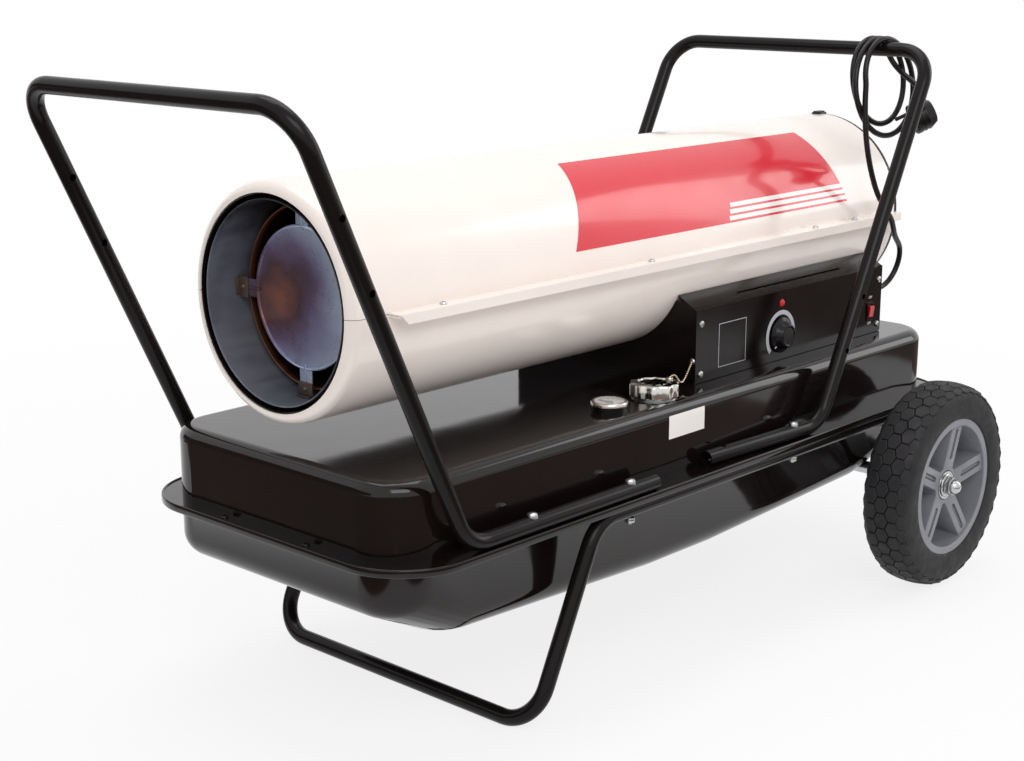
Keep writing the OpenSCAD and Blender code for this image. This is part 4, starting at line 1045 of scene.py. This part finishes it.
def make_chain():
    """Bead chain from the cap's eyelet to the end plate of the control box."""
    bead_pitch = 3.3
    line = smooth_route([
        Vector((CAP_X + 23, CAP_Y - 4, 310.6)), Vector((CAP_X + 31, CAP_Y - 4, 310.8)),
        Vector((51.8, CAP_Y - 2, 300)), Vector((76.6, PANEL_Y + 4, 318)),
    ], 12)
    bead = begin("bead", bpy.ops.mesh.primitive_uv_sphere_add, segments=10, ring_count=8, radius=1.2 * MM)
    edit(bead, "VERT", lambda point: abs(point.z) > 1.1 * MM)
    bpy.ops.transform.resize(value=(1, 1, 1.25))
    object_mode()
    places = []
    walked = 0.0
    for here, there in zip(line, line[1:]):
        step = (there - here).length
        while walked < step:
            places.append((here + (there - here) * walked / step, there - here))
            walked += bead_pitch
        walked -= step
    chain = repeated("bead_chain", bead, places)
    finished(chain, None, "bead_brass", "cap_chain", slot="brass_parts")
    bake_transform(chain)
    button = [(0, 0), (3.4, 0), (3.4, 0.8), (2.4, 1.8), (0, 2)]
    anchor = turned("chain_anchor", button, (0, 0, 0), "Z", 20)
    set_down(anchor, (78, PANEL_Y + 4, 318), (-1, 0, 0))
    finished(anchor, "base", "zinc")


def make_gauge():
    """Level gauge: rounded bezel with a pale dial plate, scale marks and a domed glass."""
    centre = (-73, -135, 298)
    ring = [
        (16.5, 4.2), (17.2, 4.5), (18.6, 4.4), (19.6, 3.6), (20, 2.4), (20, 0.2), (12.9, 0.2),
        (12.9, -9.8), (3.1, -9.8), (3.1, 1.4), (16.4, 1.4), (16.5, 4.2),
    ]
    bezel = turned("gauge_ring", ring, centre, "Z", 64)
    finished(bezel, "base", "bezel_silver", "gauge_bezel")
    flat = [(3.4, 1.45), (16.3, 1.45), (16.3, 1.7), (3.4, 1.7), (3.4, 1.45)]
    plate = turned("gauge_plate", flat, centre, "Z", 48)
    finished(plate, "base", "white_plastic")
    marks = []
    for step in range(7):
        turn = math.radians(-135 + 45 * step)
        reach = 15 if step % 2 == 0 else 13.4
        mark = block("mark", (-0.4, 11.4, 1.68), (0.4, reach, 1.8), 0.05, 1)
        mark.matrix_world = Matrix.Translation(mm(*centre)) @ Matrix.Rotation(turn, 4, "Z")
        settle(mark)
        marks.append(mark)
    finished(joined("gauge_marks", marks), "base", "black_plastic")
    dome = [(0, 3.4), (16.4, 3.2), (16.4, 3.9), (12, 4.25), (6, 4.45), (0, 4.5)]
    glass = turned("gauge_lens", dome, centre, "Z", 48)
    finished(glass, "base", "gauge_glass", slot="bezel_silver")


def make_knob():
    """Thermostat knob, a smooth low cone with a white pointer, and the printed arc round it."""
    outline = [
        (0, -13), (3, -13), (3, 0.6), (20.9, 0.6), (21.5, 1.2), (21.5, 2.4), (20.8, 3.2), (17.6, 4),
        (16.6, 5), (14.4, 11.4), (13.4, 12.6), (12, 13), (11, 12.7), (10.2, 12), (0, 11.6),
    ]
    knob = turned("cone_knob", outline, KNOB_CENTRE, "near", 64)
    finished(knob, "knob", "black_plastic", "thermostat_knob")
    pointer = block(
        "knob_pointer", (KNOB_X - 0.6, PANEL_Y - 4, KNOB_Z + 17.4),
        (KNOB_X + 0.6, PANEL_Y - 3, KNOB_Z + 20.8), 0.2,
    )
    turned_about(pointer, KNOB_CENTRE, -132)
    finished(pointer, "knob", "sign_white", slot="white_plastic")
    band = drawn("dial_band", [mm(KNOB_X - radius, PANEL_Y - 0.06, KNOB_Z) for radius in (24.4, 29.8)])
    select_mesh()
    bpy.ops.mesh.spin(steps=60, angle=math.radians(-244), center=mm(*KNOB_CENTRE), axis=(0, 1, 0))
    object_mode()
    turned_about(band, KNOB_CENTRE, -42)
    thickened(band, 0.1, -1)
    finished(band, "base", "print_grey", slot="white_plastic")


def make_lamp():
    """Red pilot lamp: a dome in a thin collar."""
    outline = [
        (0, -12), (3, -12), (3, 0), (4.5, 0), (4.5, 0.9), (4, 1.2), (3.6, 2), (2.4, 2.9), (0, 3.3),
    ]
    dome = turned("lamp_dome", outline, (KNOB_X, PANEL_Y, 361), "near", 32)
    finished(dome, "base", "red_plastic", "pilot_lamp")


def make_words():
    """ON and OFF printed above and below the switch."""
    for word, z in (("ON", 337.5), ("OFF", 304)):
        nothing_selected()
        bpy.ops.object.text_add(location=mm(444, PANEL_Y - 0.1, z), rotation=(math.pi / 2, 0, 0))
        text = bpy.context.object
        text.name = "switch_" + word.lower()
        text.data.body = word
        text.data.size = 5 * MM
        text.data.align_x = "CENTER"
        text.data.extrude = 0.05 * MM
        bpy.ops.object.convert(target="MESH")
        settle(text)
        finished(text, "base", "sign_white", slot="white_plastic")


def make_blank_labels():
    """A bare white sticker on the tank's near side and the outline of a bare plate on the panel."""
    side = [(-175.1, 255.5), (-175.1, 266), (-175.1, 277.6), (-175.03, 279.4), (-174.8, 281.2)]
    sticker = drawn("tank_sticker", [mm(-20, y, z) for y, z in side])
    select_mesh()
    pull(mm(63, 0, 0))
    thickened(sticker, 0.1, 0)
    edit(sticker)
    close_up()
    finished(sticker, "base", "sign_white", slot="white_plastic")
    left, right, low, high, line = 121, 174, 304, 355, 0.7
    plate = block("plate_outline", (left, PANEL_Y - 0.15, low), (right, PANEL_Y - 0.02, high), 0.03)
    window = block(
        "plate_window", (left + line, PANEL_Y - 1, low + line), (right - line, PANEL_Y + 1, high - line)
    )
    cut(plate, window)
    finished(plate, "base", "print_grey", slot="white_plastic")


# Tank

FLANGE_HALF_LENGTH = 501
FLANGE_HALF_WIDTH = 206
FLANGE_CORNER = 78


def make_tank_base():
    """The lower pressing as one smooth sheet, its lip drawn in a little to lie inside the bead."""
    straight_x = (FLANGE_HALF_LENGTH - FLANGE_CORNER) * MM
    straight_y = (FLANGE_HALF_WIDTH - FLANGE_CORNER) * MM

    def on_lip(point):
        beyond_x = max(abs(point.x - TANK_X * MM) - straight_x, 0)
        beyond_y = max(abs(point.y) - straight_y, 0)
        return math.hypot(beyond_x, beyond_y) > (FLANGE_CORNER - 0.5) * MM

    base = copied(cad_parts["tank_lower"])
    called(base, "tank_base")
    edit(base)
    bpy.ops.mesh.remove_doubles(threshold=0.01 * MM)
    edit(base, "VERT", on_lip)
    draw_in = (0.9992, 0.998, 1)
    bpy.ops.transform.resize(value=draw_in, center_override=mm(TANK_X, 0, SEAM_Z))
    object_mode()
    finished(base, "base", "tank_black", "tank_lower", angle=28)


def make_flange_bead():
    """The bead rolled round the flange: its outline pulled along each side and spun round each corner."""
    outline = [
        (0, -4.6), (-0.5, -5.4), (-1.4, -5.7), (-2.4, -5.4), (-3, -4.6), (-3.2, -3), (-3.2, 0.6),
        (-2.8, 2), (-1.9, 2.9), (-0.9, 2.9), (-0.2, 2.2), (0, 1), (0, -4.6),
    ]
    left = TANK_X - FLANGE_HALF_LENGTH + FLANGE_CORNER
    right = TANK_X + FLANGE_HALF_LENGTH - FLANGE_CORNER
    side = FLANGE_HALF_WIDTH - FLANGE_CORNER
    bead = drawn("flange_bead", [mm(left, -FLANGE_HALF_WIDTH - out, SEAM_Z + z) for out, z in outline])
    select_mesh()
    along = mm(right - left, 0, 0)
    across = mm(0, 2 * side, 0)
    corners = [(right, -side), (right, side), (left, side), (left, -side)]
    for run, (x, y) in zip((along, across, -along, -across), corners):
        pull(run)
        bpy.ops.mesh.spin(steps=14, angle=-math.pi / 2, center=mm(x, y, SEAM_Z), axis=UP)
    close_up(0.2)
    finished(bead, "base", "tank_black", angle=50)


# Nodes that keep their own shape

KEPT = {
    "tank_black": ["tank_upper"],
    "frame_black": ["front_handle", "rear_handle", "undercarriage"],
    "barrel_white": ["upper_shell", "lower_shell"],
    "box_black": ["pedestal", "control_panel"],
    "hot_steel": ["heat_liner", "burner_head", "stand_offs"],
    "chamber_steel": ["combustion_chamber"],
    "zinc": [
        "drain_plug", "filler_neck", "gauge_stem", "axle", "near_bearings", "far_bearings", "motor_shaft",
        "motor_bracket",
    ],
    "pump_alloy": ["fan", "pump_body", "pump_cover", "pump_rotor"],
    "brass_parts": ["nozzle_block"],
    "copper_line": ["air_line", "fuel_line"],
    "motor_grey": ["motor", "ignition_transformer"],
    "black_plastic": ["gauge_grommet", "gauge_float", "gauge_needle", "switch_housing", "flame_sensor"],
    "red_plastic": ["switch_rocker"],
    "white_plastic": ["thermostat_body", "igniter"],
    "board_green": ["circuit_board"],
    "seal_rubber": ["cap_seal"],
}


def dress_kept_nodes():
    """Gives the nodes that keep their shape their finishes."""
    for finish, names in KEPT.items():
        for name in names:
            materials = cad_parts[name].data.materials
            materials.clear()
            materials.append(FINISH[finish])


# Studio, in metres

def background_share(finish):
    """One for rays that see the background, straight or in gloss or glass, and nought for other rays."""
    seen = node(finish, "LightPath", {})
    straight = plus(finish, seen.outputs["Is Camera Ray"], seen.outputs["Is Glossy Ray"])
    glass = seen.outputs["Is Transmission Ray"]
    return node(finish, "Math", {0: straight, 1: glass}, operation="ADD", use_clamp=True).outputs["Value"]


def make_floor():
    """Pale floor that keeps a soft shadow round the heater and turns plain white further out."""
    floor = begin("studio_floor", bpy.ops.mesh.primitive_plane_add, size=30, location=(0, 0, -0.0005))
    finish = bpy.data.materials.new("studio_floor")
    finish.use_nodes = True
    shader = shader_of(finish)
    shader.inputs["Base Color"].default_value = (0.9, 0.9, 0.9, 1)
    shader.inputs["Roughness"].default_value = 0.9
    white = ranged(finish, away(finish, (0, 0, 0), (1, 1, 0)), 0.7, 1.9, 0.82, 1)
    share = node(finish, "Math", {0: background_share(finish), 1: white}, operation="MULTIPLY")
    glow = node(finish, "Emission", {"Color": (1, 1, 1, 1), "Strength": 1})
    parts = {0: share.outputs["Value"], 1: shader.outputs["BSDF"], 2: glow.outputs["Emission"]}
    mix = node(finish, "MixShader", parts)
    out = finish.node_tree.nodes["Material Output"]
    finish.node_tree.links.new(mix.outputs["Shader"], out.inputs["Surface"])
    floor.data.materials.append(finish)


def brown_card(name, spot, size, turn=(0, 0, 0)):
    """A brown studio card that only shows in glossy surfaces."""
    card = begin(name, bpy.ops.mesh.primitive_plane_add, size=1)
    card.location = spot
    card.scale = (*size, 1)
    card.rotation_euler = turn
    settle(card)
    card.data.materials.append(FINISH["card_brown"])
    for ray in ("camera", "diffuse", "transmission", "shadow"):
        setattr(card, "visible_" + ray, False)


def place_cards():
    """Brown cards, so that the black paint mirrors a white floor only close to the heater."""
    above_floor = 0.002
    brown_card("card_left", (-3.2, 2.4, 0.5), (6, 1.6), (math.pi / 2, 0, math.radians(45)))
    brown_card("card_front_floor", (-1.91, 0, above_floor), (2.18, 6))
    brown_card("card_near_floor", (0.09, -1.81, above_floor), (1.82, 2.38))
    brown_card("card_right_floor", (2.2, 0, above_floor), (1.5, 6))


def softbox(name, spot, size, power):
    """A soft lamp aimed at the heater."""
    light = bpy.data.lights.new(name, "AREA")
    light.shape = "RECTANGLE"
    light.size, light.size_y = size
    light.energy = power
    lamp = bpy.data.objects.new(name, light)
    lamp.location = spot
    aim = Vector((0, 0, 0.35)) - Vector(spot)
    lamp.rotation_euler = aim.to_track_quat("-Z", "Y").to_euler()
    bpy.context.scene.collection.objects.link(lamp)


def light_studio():
    """White surroundings, a quieter world for the diffuse light, and three soft lamps."""
    world = bpy.data.worlds.new("studio")
    bpy.context.scene.world = world
    world.use_nodes = True
    level = ranged(world, background_share(world), 0, 1, 0.6, 1)
    sky = world.node_tree.nodes["Background"]
    sky.inputs["Color"].default_value = (1, 1, 1, 1)
    world.node_tree.links.new(level, sky.inputs["Strength"])
    softbox("key_lamp", (-1.6, -2.4, 2.4), (2.2, 1.4), 34)
    softbox("top_lamp", (0.2, 0.4, 3.0), (2.6, 1.6), 30)
    softbox("side_lamp", (2.6, -1.4, 1.5), (0.9, 2.0), 14)
    bpy.context.scene.view_settings.view_transform = "Standard"


set_camera()
mix_finishes()
make_cord()
make_signs()
make_mouth()
make_baffle()
make_guard()
make_screws()
make_bolts()
make_axle_nuts()
make_tyre()
make_rim()
make_cap()
make_chain()
make_gauge()
make_knob()
make_lamp()
make_words()
make_blank_labels()
make_tank_base()
make_flange_bead()
dress_kept_nodes()
make_floor()
light_studio()
place_cards()
